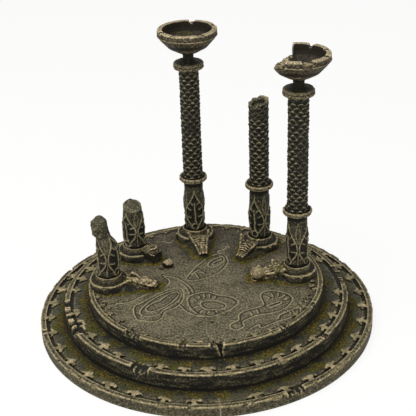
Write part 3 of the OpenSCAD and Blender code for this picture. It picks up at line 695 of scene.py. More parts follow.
def buildTopWall(look):
    outerR, rimZ, foot, innerR = look["outerR"], look["rimZ"], look["foot"], look["outerR"] - look["rimWidth"]
    profile = [
        (outerR - 8.0, foot + 2, 9), (outerR - 2.4, foot, 3), (outerR, foot, 0.5), (outerR, rimZ - 0.5, 0.3),
        (outerR - 0.3, rimZ - 0.1, 0.3), (outerR - 0.6, rimZ, 0.45), (innerR + 0.3, rimZ, 0.3),
        (innerR, rimZ - 0.3, 0.4), (innerR - 0.5, floorZ - 0.3, 1.0), (outerR - 8.0, floorZ - 0.6, 6),
    ]
    mesh = spunMesh("topWall", profile, look["spacing"], outerR)
    points = erodeRim(meshPoints(mesh), look)
    # the crack that runs down the wall at the front, with a flake gone from its top
    r, _, azimuth = polar(points)
    z = points[:, 2]
    wander = 1.1 * noise(np.column_stack([z, z * 0, z * 0]), 3.5, look["seed"] + 10)
    across = np.radians(turnFrom(azimuth, look["crackAzimuth"])) * outerR + wander + 0.1 * (rimZ - z)
    opening = look["crackWidth"] * (0.45 + smooth(rimZ - look["flakeDepth"], rimZ, z))
    crack = bell(across + 0.5 * opening, opening, 4) * smooth(outerR - 7, outerR - 3, r)
    points[:, :2] *= (1 - crack * look["crackDepth"] / outerR)[:, None]
    points[:, 2] -= crack * 1.3 * (z > rimZ - 2)
    setMeshPoints(mesh, points)
    wear, washAndShade = standsProud(mesh, 10, 0.2, 2)
    wear = most(wear * smooth(foot + 0.3, foot + 2.5, z), edgeLine(points, look)) * (1 - crack)
    atFoot = 0.34 * smooth(foot + 3.0, foot + 0.4, z) * (0.6 + 0.6 * rough(points, 5.0, look["seed"] + 20))
    onTop = 0.5 * smooth(-0.1, 0.8, rough(points, 8.0, look["seed"] + 30)) * (r < outerR - 2) * (z > floorZ)
    washAndShade = most(washAndShade, crack, wallShadeAndWash(points, r, look))
    finishPiece(mesh, ["top_platform"], "step", wear, washAndShade, most(atFoot, onTop))

    def clear(azimuth, chance):
        a, leafR = math.radians(azimuth), 78.5
        spot = np.array([[leafR * math.cos(a), leafR * math.sin(a)]])
        return (0.75 + 0.35 * chance) * (nearPlinths(spot)[0] > 2.0)

    buildCrockets("topCrockets", ["top_platform"], look, clear)


def buildTopFloor(look):
    bm = bmesh.new()
    cells = round(look["cells"] / spread)
    bmesh.ops.create_grid(bm, x_segments=cells, y_segments=cells, size=1.0)
    rim = bmesh.ops.extrude_edge_only(bm, edges=[e for e in bm.edges if e.is_boundary])["geom"]
    for v in (g for g in rim if isinstance(g, bmesh.types.BMVert)):
        v.co.z -= look["thick"]
    bmesh.ops.edgeloop_fill(bm, edges=[e for e in bm.edges if e.is_boundary])
    bmesh.ops.recalc_face_normals(bm, faces=bm.faces)
    mesh = toMesh(bm, "topFloor")
    points = meshPoints(mesh)
    u, v = points[:, 0].copy(), points[:, 1].copy()
    radius = topR - 3.2
    points[:, 0] = u * np.sqrt(1 - v * v / 2) * radius  # the square grid is drawn out to a disc
    points[:, 1] = v * np.sqrt(1 - u * u / 2) * radius
    x, y, upper = points[:, 0], points[:, 1], points[:, 2] > -0.1
    rise, groove = np.zeros(len(points)), np.zeros(len(points))
    for closed, lines in ((True, look["closed"]), (False, look["open"])):
        for line in lines:
            curve = smoothLine(line, closed)
            winding = np.sum(curve[:-1, 0] * curve[1:, 1] - curve[1:, 0] * curve[:-1, 1]) if closed else 1.0
            d, side = lineDistance(points[:, :2], curve)
            inner = d * side * (1 if winding > 0 else -1)
            rise = most(rise, bell(d, look["lineWidth"]))
            groove = most(groove, bell(inner - look["grooveOffset"], look["grooveWidth"]))
    wobble = 0.75 + 0.25 * rough(points, 5.0, 410)
    rise, groove = rise * wobble, groove * wobble * (1 - rise)
    r, foot = polar(points)[0], nearPlinths(points[:, :2])
    pearl = np.sqrt(np.maximum(0, 1 - ((x - look["pearl"][0]) ** 2 + (y - look["pearl"][1]) ** 2) / 1.1))
    edge = smooth(radius - 3.5, radius - 0.5, r)
    bumps = smooth(0.25, 0.8, rough(points, 1.8, 430)) * smooth(radius - 12, radius - 4, r + 3 * noise(points, 9, 440))
    height = (
        look["lineRise"] * rise - look["grooveDepth"] * groove + 0.7 * pearl + 0.45 * bumps + 0.12 * edge
        + 0.10 * rough(points, 7.0, 450) + 0.09 * rough(points, 1.3, 460, 2)
    )
    mossNear = bell(np.maximum(foot - 0.6, 0), 2.4 + 1.2 * rough(points, 7.0, 475)) * smooth(-3, 0, foot)
    patches = rough(points, 8.0, 470)
    moss = mossNear * (0.8 + 0.16 * patches) + 0.24 * smooth(0.1, 0.9, patches) * smooth(30, 75, r)
    leftDrift = bell(x + 35, 14) * bell(y + 17, 9)
    moss += leftDrift * (0.14 + 0.2 * rise + 0.34 * groove) + 0.42 * groove * smooth(-0.4, 0.4, patches)
    height += smooth(0.25, 0.6, moss) * (0.15 + 0.3 * noise(points, 0.8, 480))
    points[:, 2] = floorZ + np.where(upper, height, -look["thick"])
    setMeshPoints(mesh, points)
    wear, washAndShade = standsProud(mesh)
    # painted shade round the feet of the plinths and along the rim wall, and darker towards the back
    shade = np.exp(-np.maximum(foot, 0) / 2.6) * 0.5 + 0.35 * edge + 0.11 * smooth(5, 60, y)
    bare = 1 - np.clip(1.4 * moss, 0, 0.75)  # elsewhere the flock covers the dark wash and the painted shade
    # the grooves beside the raised lines get dark wash with painted shadow in them
    washAndShade = most(0.6 * washAndShade, groove * (0.4 + 0.6 * bare), shade * bare)
    finishPiece(mesh, ["top_platform"], "floor", most(0.5 * wear, 0.95 * rise, 0.9 * pearl), washAndShade, moss)


buildTopWall(topStep)
buildTopFloor(topFloor)
print("top platform made")

# ---- spun and carved pieces of the columns
def towardFront(points, key):
    # azimuth round a column's own axis, zero where it faces the front of the ruin
    return turnFrom(polar(points)[2] + math.degrees(columns[key]["turn"]), -90.0)


def frontAxes(key):
    # the directions to the right of the front and toward the front, in the column's own frame
    front = math.radians(-90) - columns[key]["turn"]
    return np.array([(-math.sin(front), math.cos(front)), (math.cos(front), math.sin(front))]).T


def pushOut(points, normals, amount):
    return points + normals * np.asarray(amount)[:, None]


def squeezeTop(points, base, top, newTop):
    # pulls everything above base down, so that the top comes to newTop
    z = points[:, 2]
    return np.where(z > base, base + (z - base) * (newTop - base) / (top - base), z)


def titled(name, key):
    return name + key.title().replace("_", "")


# ---- drums with leaf tracery: lines are (s, z), with s round the drum from the middle of a leaf
tracery = {
    "leaves": 3, "atR": 7.6, "rise": 0.8, "ridge": 0.62, "sink": 0.42, "eyeZ": 63.9, "ringZ": 41.9,
    "outline": [(0.0, 71.5), (0.2, 69.6), (1.7, 66.4), (3.7, 62.6), (5.8, 59.0), (7.1, 54.8), (7.2, 51.0), (6.2, 47.6),
                (4.5, 45.0), (3.0, 42.9)],
    "stem": [(-0.2, 61.2), (0.2, 56.5), (0.5, 50.5), (0.3, 46.8), (1.3, 44.9)],
    "ribs": [[(-3.6, 62.6), (-1.5, 60.4)], [(3.6, 62.6), (1.5, 60.4)], [(-6.0, 58.2), (-3.0, 56.0)],
             [(6.4, 58.4), (3.2, 56.2)], [(-7.0, 50.2), (-3.0, 49.6)], [(7.0, 50.8), (2.8, 50.2)]],
    "ring": [(2.6, 41.9), (1.84, 43.7), (0.0, 44.5), (-1.84, 43.7), (-2.6, 41.9), (-1.84, 40.1), (0.0, 39.3),
             (1.84, 40.1)],
    "drop": [(0.0, 73.5), (0.9, 69.0), (1.7, 65.0), (0.9, 61.0), (0.0, 57.5), (-0.9, 61.0), (-1.7, 65.0), (-0.9, 69.0)],
    "keel": [(0.0, 50.0), (0.1, 45.0), (0.0, 40.0)],
}


def traceryOn(s, z, look, sector):
    # ridges and sunk grounds over one sector; the drop and the keel lie between two leaves
    flat, gap = np.column_stack([s, z]), np.column_stack([np.abs(s) - sector / 2, z])
    mirrored = [(-x, y) for x, y in look["outline"]]
    ridge = np.zeros(len(s))
    for at, line, closed, step, wide, share in [
        (flat, look["outline"], False, 0.6, 1.0, 1.0), (flat, mirrored, False, 0.6, 1.0, 1.0),
        (flat, look["stem"], False, 0.6, 1.25, 1.0), (flat, look["ring"], True, 0.5, 1.1, 1.0),
        *((flat, rib, False, 0.6, 1.0, 0.9) for rib in look["ribs"]),
        (gap, look["drop"], True, 0.6, 1.0, 0.45), (gap, look["keel"], False, 0.6, 0.8, 0.8),
    ]:
        d, _ = lineDistance(at, smoothLine(line, closed, step))
        ridge = most(ridge, share * bell(d, look["ridge"] * wide))
    half = np.interp(z, *zip(*[(p[1], p[0]) for p in reversed(look["outline"])]))
    inside = smooth(-0.2, 0.8, half - np.abs(s)) * (z < 70) * (z > 43)
    eye = np.exp(-(((s / 1.5) ** 2 + ((z - look["eyeZ"]) / 2.2) ** 2)) ** 2)
    hole = np.exp(-(((s / 1.5) ** 2 + ((z - look["ringZ"]) / 1.5) ** 2)) ** 2)
    return ridge, most(inside * 0.7, 1.5 * eye, 1.4 * hole) * (1 - ridge)


# "sides" are rows of (z, left edge, right edge) of a broken drum, seen from the front
drums = {
    "back": {"node": "drum_back", "name": "drumBack", "face": 2.0, "top": 77.0, "seed": 500},
    "back_right": {"node": "drum_back_right", "name": "drumBackRight", "face": -34.0, "top": 77.0, "seed": 510},
    "right": {"node": "drum_right", "name": "drumRight", "face": 60.0, "top": 77.0, "seed": 520},
    "left": {"node": "broken_drum_left", "name": "brokenDrumLeft", "face": 58.0, "top": 84.5, "seed": 530,
             "ragged": 1.0,
             "sides": [(37.4, -8.0, 8.2), (41.0, -7.7, 7.7), (49.0, -6.7, 8.6), (57.0, -6.5, 8.3),
                       (61.0, -6.6, 7.9), (65.0, -6.5, 6.2), (68.7, -6.4, 3.6), (71.4, -8.6, 3.0), (76.6, -9.7, 2.4),
                       (80.6, -9.0, 1.9), (83.2, -7.7, 1.2), (84.5, -6.6, 0.2)]},
    "back_left": {"node": "stump_back_left", "name": "stumpBackLeft", "face": -40.0, "top": 75.6, "seed": 540,
                  "ragged": 0.0, "cutZ": 70.8,
                  "sides": [(37.4, -8.3, 8.0), (41.5, -8.3, 7.7), (50.0, -8.0, 7.2), (58.0, -7.9, 7.0),
                            (66.0, -7.6, 6.9), (75.6, -7.2, 6.6)]},
}


def buildDrum(key, look):
    top, bottom, seed, drumR = look["top"], 37.4, look["seed"], 7.0
    profile = [(0.0, bottom, 1.5), (6.6, bottom, 0.3), (drumR, bottom + 0.4, 0.33), (drumR, top - 0.4, 0.33),
               (6.6, top, 0.6), (0.0, top, 1.0)]
    mesh = spunMesh(look["name"], profile, 0.33, drumR, loop=False)
    points = meshPoints(mesh)
    r, unit, _ = polar(points)
    z = points[:, 2]
    skin = smooth(6.2, 6.6, r)
    sector = 2 * math.pi * tracery["atR"] / tracery["leaves"]
    s = np.radians(towardFront(points, key) - look["face"]) * tracery["atR"]
    ridge, sink = traceryOn((s + sector / 2) % sector - sector / 2, z, tracery, sector)
    wobble = 0.85 + 0.2 * rough(points, 3.0, seed)
    ripple = 0.13 * rough(points, (1.2, 1.2, 6.0), seed + 3) + 0.08 * rough(points, 0.9, seed + 5, 2)
    out = 0.75 * bell(z - 55.5, 9.5) + (tracery["rise"] * ridge * wobble - tracery["sink"] * sink) + ripple
    ends = smooth(bottom + 0.2, bottom + 2.0, z) * smooth(top - 0.2, top - 1.8, z)
    points[:, :2] = unit * (r + skin * (out * ends + (1 - ends) * ripple))[:, None]
    axes = frontAxes(key)
    if "sides" in look:
        levels, lefts, rights = zip(*look["sides"])
        left, right = np.interp(z, levels, lefts), np.interp(z, levels, rights)
        across, along = (points[:, :2] @ axes).T
        half = (right - left) / 2 / 7.3
        across, along = (left + right) / 2 + across * half, along * np.clip(half, 0.45, 1.1)
        points[:, :2] = np.column_stack([across, along]) @ axes.T
        lumps = rough(points, 3.2, seed + 9) * smooth(66, 72, z) * look["ragged"]
        points[:, :2] *= (1 + 0.1 * lumps)[:, None]
        worn = 1.6 * (r / drumR) ** 2 + 0.5 * rough(points, 3.0, seed + 8)
        points[:, 2] -= look["ragged"] * smooth(79.0, top, z) * worn
    if "cutZ" in look:
        across, along = (points[:, :2] @ axes).T
        plane = look["cutZ"] - 0.18 * across - 0.34 * along + 0.8 * rough(points * (1, 1, 0), 3.0, seed + 11)
        points[:, 2] = squeezeTop(points, 50.0, top, np.minimum(plane, 75.8))
    points[:, :2] += (shiver(points, 4.0, 0.18, seed + 20) * ends[:, None])[:, :2]
    setMeshPoints(mesh, points)
    wear, washAndShade = standsProud(mesh, 9, 0.22)
    keep = skin * ends
    wear = most(0.75 * wear, 0.8 * ridge * keep * (0.75 + 0.5 * noise(points, 1.8, seed + 41)))
    # painted shade under the collar, and at the drum's foot inside the plinth's cup
    shadeUnderCollar = 0.9 * smooth(top - 3.0, top, z) * ("sides" not in look)
    washAndShade = most(0.8 * washAndShade, sink * 0.36 * keep, shadeUnderCollar, 0.7 * smooth(bottom + 3.5, bottom + 0.8, z))
    moss = 0.26 * smooth(0.1, 0.9, rough(points, 5.0, seed + 30))
    pale = 0.35 * smooth(-0.4, 0.0, meshNormals(mesh)[:, 2] - 0.45) * ("sides" in look)  # where it broke
    finishOn(key, mesh, points, [look["node"]], "column", wear, washAndShade, moss, pale)


for key, look in drums.items():
    buildDrum(key, look)
print("drums made")

# ---- scaled shafts; spalls are (azimuth, height, half width, half height)
scales = {"perRow": 8, "rowPitch": 2.85, "arch": 2.6, "thick": 1.05, "fall": 3.4, "spacing": 0.32, "shaftR": 6.7}
shafts = {
    "back": {"node": "shaft_back", "name": "shaftBack", "top": 165.9, "seed": 600, "turn": 6.0,
             "spalls": [(-10, 128.0, 5.0, 9.0), (14, 121.0, 4.0, 5.0)]},
    "right": {"node": "shaft_right", "name": "shaftRight", "top": 165.9, "seed": 620, "turn": -8.0,
              "spalls": [(28, 128.0, 5.5, 13.0), (36, 118.0, 4.0, 8.0)]},
    "back_right": {"node": "broken_shaft_back_right", "name": "brokenShaftBackRight", "top": 148.3, "seed": 640,
                   "turn": 2.0, "breakZ": 146.0, "spalls": [(-20, 141.0, 8.0, 7.0), (22, 138.0, 7.0, 5.0)]},
}


def scaleHeight(u, v, look):
    # u in scale widths round the shaft, v in millimetres up it; each scale lies over the foot of the ones above it
    below, dome = np.full(len(u), 99.0), np.zeros(len(u))
    for ahead in range(4):
        row = np.floor(v / look["rowPitch"]).astype(int) + ahead
        x = (u + 0.5 * (row % 2)) % 1.0 - 0.5
        arch = look["arch"] * (1 - np.sqrt(np.maximum(0, 1 - (2 * x) ** 2 * 0.98)))
        d = row * look["rowPitch"] - arch - v
        use = (d >= 0) & (d < below)
        below, dome = np.where(use, d, below), np.where(use, np.cos(math.pi * x), dome)
    height = look["thick"] * np.clip(1 - below / look["fall"], 0, 1) * (0.35 + 0.65 * dome)
    return height, bell(below, 0.75) * (0.05 + 0.95 * dome**6), below


def buildShaft(key, look):
    top, bottom, seed = look["top"], 80.4, look["seed"]
    spacing, shaftR, broken = scales["spacing"], scales["shaftR"], "breakZ" in look
    profile = [(0.0, bottom, 1.5), (6.4, bottom, 0.3), (shaftR, bottom + 0.3, spacing), (shaftR, top - 0.3, spacing),
               (6.4, top, 0.5), (0.0, top, 0.6)]
    mesh = spunMesh(look["name"], profile, spacing, shaftR, loop=False)
    points = meshPoints(mesh)
    angle, z = towardFront(points, key), points[:, 2]
    r, unit, _ = polar(points)
    skin = smooth(6.0, 6.4, r)
    u = (angle + look["turn"]) / 360.0 * scales["perRow"] + 0.04 * noise(points, 6.0, seed + 1)
    height, lip, below = scaleHeight(u, z - bottom + 0.25 * noise(points, 5.0, seed + 2), scales)
    worn = 0.8 + 0.3 * rough(points, 5.0, seed + 3)
    band = 1.0 if broken else smooth(top - 1.6, top - 2.4, z)
    for spot, mid, wide, tall in look["spalls"]:
        d = (np.radians(angle - spot) * 7.0 / wide) ** 2 + ((z - mid) / tall) ** 2
        worn = worn * (1 - 0.8 * bell(d, 1.0))
    grain = 0.06 * rough(points, 0.9, seed + 4, 2) + 0.07 * rough(points, 2.5, seed + 5)
    points[:, :2] = unit * (r + skin * (height * worn * band + (1 - band) * 0.35 + grain))[:, None]
    inside = np.zeros(len(points))
    if broken:  # a slanting edge round a hollow
        across, along = (points[:, :2] @ frontAxes(key)).T
        edge = look["breakZ"] + 0.26 * across - 0.16 * along + 0.7 * rough(points * (1, 1, 0), 2.4, seed + 7)
        edge -= 1.6 * bell(across + 3.4, 1.1) * smooth(2, 6, along)
        dish = smooth(5.4, 3.8, r)
        points[:, 2] = squeezeTop(points, 132.0, top, np.clip(edge - 4.2 * dish, 120, 148.2))
        inside = dish * (z > top - 0.2)
    setMeshPoints(mesh, points)
    wear, washAndShade = standsProud(mesh, 8, 0.22)
    wear = most(0.5 * wear, 1.85 * lip * worn * skin * band * (0.8 + 0.4 * noise(points, 2.2, seed + 8)))
    washAndShade = most(washAndShade, smooth(1.2, 2.8, below) * skin * 0.85)
    face = 0.0 * z
    if broken:
        face = smooth(0.3, 0.7, meshNormals(mesh)[:, 2]) * smooth(138, 142, z) * (r < 6.9)
        wear = most(wear * (1 - 0.6 * face), bell(r - 6.2, 0.9) * (z > top - 0.8))
        washAndShade = most(washAndShade * (1 - face), 0.3 * inside)
    moss = 0.24 * smooth(0.2, 1.0, rough(points, 4.0, seed + 9))
    finishOn(key, mesh, points, [look["node"]], "column", wear, washAndShade, moss, 0.45 * face)


for key, look in shafts.items():
    buildShaft(key, look)
print("shafts made")

# ---- collars, capitals and bowls: turned profiles of (r, z, spacing), then damage
collar = {"seeds": {"back": 660, "back_right": 671, "right": 682}, "spacing": 0.42, "outerR": 10.4, "profile": [
    (5.6, 76.9, 1.0), (7.1, 76.9, 0.35), (7.3, 77.4, 0.4), (8.5, 78.0, 0.4), (9.9, 78.9, 0.35), (10.4, 79.6, 0.35),
    (10.4, 81.4, 0.3), (10.1, 82.0, 0.3), (9.4, 82.1, 0.35), (8.9, 81.6, 0.4), (7.9, 80.9, 0.6), (6.2, 80.5, 1.0)]}
capital = {"seeds": {"back": 690, "right": 703}, "spacing": 0.42, "outerR": 11.0, "profile": [
    (0.0, 165.7, 2.0), (7.2, 165.7, 0.35), (7.6, 166.2, 0.4), (8.8, 166.6, 0.4), (10.4, 167.2, 0.35),
    (11.0, 167.9, 0.35), (11.0, 169.0, 0.3), (10.6, 169.5, 0.3), (10.9, 170.0, 0.3), (10.8, 170.9, 0.3),
    (10.2, 171.5, 0.35), (9.2, 171.5, 0.4), (8.0, 171.5, 0.5), (6.6, 172.0, 0.5), (5.2, 173.0, 0.5), (4.3, 174.1, 0.8),
    (0.0, 174.1, 1.0)]}
# the wall's outer face, its rim and its inner face
bowlOuter = [
    (3.8, 175.0, 0.5), (3.9, 176.8, 0.5), (4.6, 178.0, 0.5), (7.9, 179.5, 0.5), (14.1, 183.1, 0.5), (19.2, 188.7, 0.45),
    (21.0, 191.3, 0.35), (21.5, 191.6, 0.3), (21.2, 192.3, 0.4), (21.3, 195.4, 0.3), (21.0, 196.0, 0.4)]
bowlInner = [
    (18.0, 196.1, 0.35), (17.5, 195.7, 0.4), (17.1, 191.6, 0.45), (16.4, 189.4, 0.5), (11.0, 186.4, 0.6),
    (5.0, 185.0, 0.8), (0.0, 184.7, 1.0)]
# breaks in a bowl's rim: azimuth, width in degrees, lowest point; "gone" rows are azimuth and what height is left
bowls = {
    "back": {"node": "bowl_back", "name": "bowlBack", "seed": 700, "innerMoss": 0.3, "breaks": [
        (80.0, 12.0, 194.6), (203.0, 9.0, 195.3), (18.0, 10.0, 195.4), (-62.0, 15.0, 195.5), (-120.0, 8.0, 195.6)]},
    "right": {"node": "broken_bowl_right", "name": "brokenBowlRight", "seed": 720, "innerMoss": 0.0,
              "breaks": [(59.0, 9.0, 193.9), (-80.0, 20.0, 194.8), (14.0, 8.0, 195.2), (-30.0, 12.0, 195.3)],
              "gone": [(96.0, 196.1), (97.5, 188.6), (113.0, 187.7), (131.0, 186.0), (160.0, 185.6), (195.0, 186.2),
                       (206.0, 188.2), (219.0, 190.8), (229.0, 193.2), (238.5, 194.3), (240.0, 196.1)]},
}


def buildCollar(key, seed, look):
    mesh = spunMesh(titled("collar", key), look["profile"], look["spacing"], look["outerR"])
    points = meshPoints(mesh)
    r, z = polar(points)[0], points[:, 2]
    chip = smooth(0.1, 0.8, rough(points, 2.6, seed)) * smooth(8.6, 10.2, r)
    points[:, :2] *= (1 - 0.045 * chip)[:, None]
    points[:, 2] -= 0.35 * chip * (z > 80.5) * np.clip(z - 80.0, 0, 1)
    points += shiver(points, 2.4, 0.09, seed + 5)
    setMeshPoints(mesh, points)
    wear, washAndShade = standsProud(mesh, 8, 0.16)
    lip = smooth(9.3, 10.0, r) * smooth(79.6, 80.9, z)
    wear = most(0.8 * wear, 0.42 * lip * (0.75 + 0.35 * rough(points, 4.0, seed + 6)))
    # painted shade on the slope round the shaft's foot and under the collar's flare
    washAndShade = most(washAndShade, 0.85 * smooth(8.9, 7.6, r), 0.5 * smooth(79.0, 77.6, z))
    moss = 0.3 * smooth(0.0, 0.9, rough(points, 4.0, seed + 7))
    finishOn(key, mesh, points, ["collar_" + key], "collar", wear, washAndShade, moss)


def buildCapital(key, seed, look):
    mesh = spunMesh(titled("capital", key), look["profile"], look["spacing"], look["outerR"], loop=False)
    points = meshPoints(mesh)
    r, z = polar(points)[0], points[:, 2]
    chip = smooth(0.15, 0.85, rough(points, 2.8, seed)) * smooth(9.0, 10.6, r)
    points[:, :2] *= (1 - 0.04 * chip)[:, None]
    points += shiver(points, 2.2, 0.1, seed + 5)
    setMeshPoints(mesh, points)
    wear, washAndShade = standsProud(mesh, 8, 0.16)
    wear = most(0.7 * wear, 0.26 * smooth(10.0, 10.6, r) * (0.6 + 0.6 * rough(points, 3.0, seed + 6)))
    # painted shade where the bowl sits over the capital, and under the capital's flare at its foot
    shadeUnderBowl = 0.75 * smooth(8.2, 6.8, r) * smooth(170.2, 170.6, z)
    washAndShade = most(washAndShade, shadeUnderBowl, 0.6 * smooth(167.0, 166.0, z))
    moss = 0.5 * smooth(170.4, 171.0, z) * smooth(9.8, 8.0, r) * (0.7 + 0.4 * rough(points, 3.0, seed + 7))
    finishOn(key, mesh, points, ["capital_" + key], "collar", wear, washAndShade, moss)


def buildBowl(key, look):
    seed, base, rim, floor = look["seed"], 183.2, 196.1, 184.7
    profile = [(0.0, 173.4, 1.5), (4.0, 173.4, 0.5), *bowlOuter, *bowlInner]
    mesh = spunMesh(look["name"], profile, 0.5, 21.5, loop=False)
    points = meshPoints(mesh)
    r, _, azimuth = polar(points)
    azimuth, z = azimuth + math.degrees(columns[key]["turn"]), points[:, 2].copy()
    top = np.full(len(points), rim)
    for centre, wide, low in look["breaks"]:
        ragged = noise(np.column_stack([azimuth / 4.0, r * 0, r / 3.0]), 1.0, seed + 1) * 1.6
        share = smooth(wide / 2 + 1.6, wide / 2 - 1.2, np.abs(turnFrom(azimuth, centre)) + ragged)
        top = np.minimum(top, rim + (low - rim) * share)
    if "gone" in look:
        azimuths, heights = zip(*look["gone"])
        top = np.minimum(top, np.interp(azimuth % 360 + 0.6 * noise(points, 1.5, seed + 12), azimuths, heights))
    broken = smooth(0.2, 1.2, rim - top)
    top += broken * (0.5 * rough(np.column_stack([azimuth / 6.0, r / 2.0, r * 0]), 1.0, seed + 2) - 0.2)
    # what is left of the wall keeps its profile: each point slides along the inner or the outer face
    outside = [(p[1], p[0]) for p in bowlOuter]
    inside = [(p[1], p[0]) for p in reversed(bowlInner)]
    outZ = np.where(z > base, base + (z - base) * (top - base) / (rim - base), z)
    inZ = floor + (z - floor) * (top - floor) / (rim - floor)
    outR, inR = np.interp(z, *zip(*outside)), np.interp(z, *zip(*inside))
    across = np.clip((r - inR) / np.maximum(outR - inR, 0.1), 0, 1) * (z > floor - 0.1) + (z <= floor - 0.1)
    cut = (rim - top > 0.05) & (z > base)
    newR = across * np.interp(outZ, *zip(*outside)) + (1 - across) * np.interp(inZ, *zip(*inside))
    points[:, :2] *= (np.where(cut, newR, r) / np.maximum(r, 1e-6))[:, None]
    points[:, 2] = np.where(cut, across * outZ + (1 - across) * inZ, z)
    chip = smooth(0.1, 0.8, rough(points, 3.0, seed + 3)) * smooth(20.0, 21.3, r) * smooth(191.5, 194.0, z)
    points[:, :2] *= (1 - 0.014 * chip)[:, None]
    flake = smooth(0.3, 0.7, rough(points, 2.0, seed + 4)) * (r > 20.5) * smooth(190.9, 191.6, z)
    points[:, :2] *= (1 - 0.006 * flake)[:, None]
    points += shiver(points, 2.6, 0.08, seed + 5)
    points[:, 2] = np.minimum(points[:, 2], rim + 0.1)
    setMeshPoints(mesh, points)
    wear, washAndShade = standsProud(mesh, 9, 0.18)
    onRim = smooth(195.2, 195.9, z) * smooth(17.6, 18.2, r)
    wear = most(wear * 0.9, 0.62 * onRim * (0.85 + 0.3 * rough(points, 3.0, seed + 6))) * (1 - 0.5 * broken)
    line = bell(z - 191.5, 0.5) * (r > 20.4) * (1 - 0.6 * broken) * (0.8 + 0.4 * noise(points, 3.0, seed + 7))
    fresh = (0.5 + 0.3 * noise(points, 1.6, seed + 9)) * broken * smooth(194.5, 196.0, z) * (r > 17)
    inner = (z > 184.2) * smooth(18.0, 17.4, r)
    # painted shade inside the bowl, deepest under its rim, and on the neck below the bowl
    washAndShade = most(washAndShade, inner * (0.15 + 0.45 * smooth(15.5, 17.2, r)), 0.6 * smooth(180.2, 178.4, z) * (r < 9))
    moss = 0.26 * smooth(0.1, 0.9, rough(points, 5.0, seed + 8)) * (z < 190) + look["innerMoss"] * inner
    pale = 0.35 * smooth(0.0, 1.0, broken) * smooth(191, 195, z)
    finishOn(key, mesh, points, [look["node"]], "bowl", most(wear, 0.6 * line, fresh), washAndShade, moss, pale)


for key, seed in collar["seeds"].items():
    buildCollar(key, seed, collar)
for key, seed in capital["seeds"].items():
    buildCapital(key, seed, capital)
for key, look in bowls.items():
    buildBowl(key, look)
print("collars, capitals and bowls made")

# ---- plinths, beast heads and loose stones: rough blocks fused by a voxel remesh, then carved by moving the surface
def lump(bm, centre, size, turn=0.0, detail=3):
    made = bmesh.ops.create_icosphere(bm, subdivisions=detail, radius=1.0)["verts"]
    bmesh.ops.scale(bm, verts=made, vec=size)
    turned(bm, made, turn)
    bmesh.ops.translate(bm, verts=made, vec=centre)


def rod(bm, start, end, startR, endR, segments):
    a, b = Vector(start), Vector(end)
    run = b - a
    made = bmesh.ops.create_cone(
        bm, cap_ends=True, segments=segments, radius1=startR, radius2=endR, depth=run.length
    )["verts"]
    bmesh.ops.rotate(bm, verts=made, cent=(0, 0, 0), matrix=run.to_track_quat("Z", "Y").to_matrix())
    bmesh.ops.translate(bm, verts=made, vec=(a + b) / 2)


def bar(bm, start, end, startR, endR):
    # a tapering rod with rounded ends
    rod(bm, start, end, startR, endR, 20)
    lump(bm, start, (startR,) * 3)
    lump(bm, end, (endR,) * 3)


def wedge(bm, back, front, halves, lows, tops, topHalves=None):
    # a block from back to front along x, with a half width, an underside and a top at each end
    for v in bmesh.ops.create_cube(bm, size=2.0)["verts"]:
        end, top = (1 if v.co.x > 0 else 0), v.co.z > 0
        half = (topHalves if top and topHalves else halves)[end]
        v.co = ((back, front)[end], half * (1 if v.co.y > 0 else -1), (tops if top else lows)[end])


def fused(bm, name, voxel):
    block = inScene(name + "Block", toMesh(bm, name + "Block"))
    remesh = block.modifiers.new("fuse", "REMESH")
    remesh.mode, remesh.voxel_size, remesh.adaptivity = "VOXEL", voxel * spread, 0.0
    bpy.context.view_layer.update()
    mesh = bpy.data.meshes.new_from_object(block.evaluated_get(bpy.context.evaluated_depsgraph_get()))
    old = block.data
    bpy.data.objects.remove(block)
    bpy.data.meshes.remove(old)
    mesh.name = name
    return mesh


def bulge(points, centre, reach):
    # one at the centre, falling to nothing at the reach
    d = (points - np.array(centre)) / np.array(reach)
    return np.exp(-2.2 * np.einsum("ij,ij->i", d, d))


# the prow's half width at its root, and how far short of its tip and how high its end is
prowEnd = {"root": 15.0, "short": 0.4, "endZ": 2.6}
plinths = {
    "back": prowEnd | {"disc": 14.0, "seed": 800}, "back_right": prowEnd | {"disc": 14.0, "seed": 810},
    "right": {"root": 15.0, "short": 5.0, "endZ": 1.4, "disc": 14.0, "seed": 820},
    "left": prowEnd | {"disc": 14.0, "seed": 830}, "back_left": prowEnd | {"root": 12.6, "disc": 13.4, "seed": 840},
}


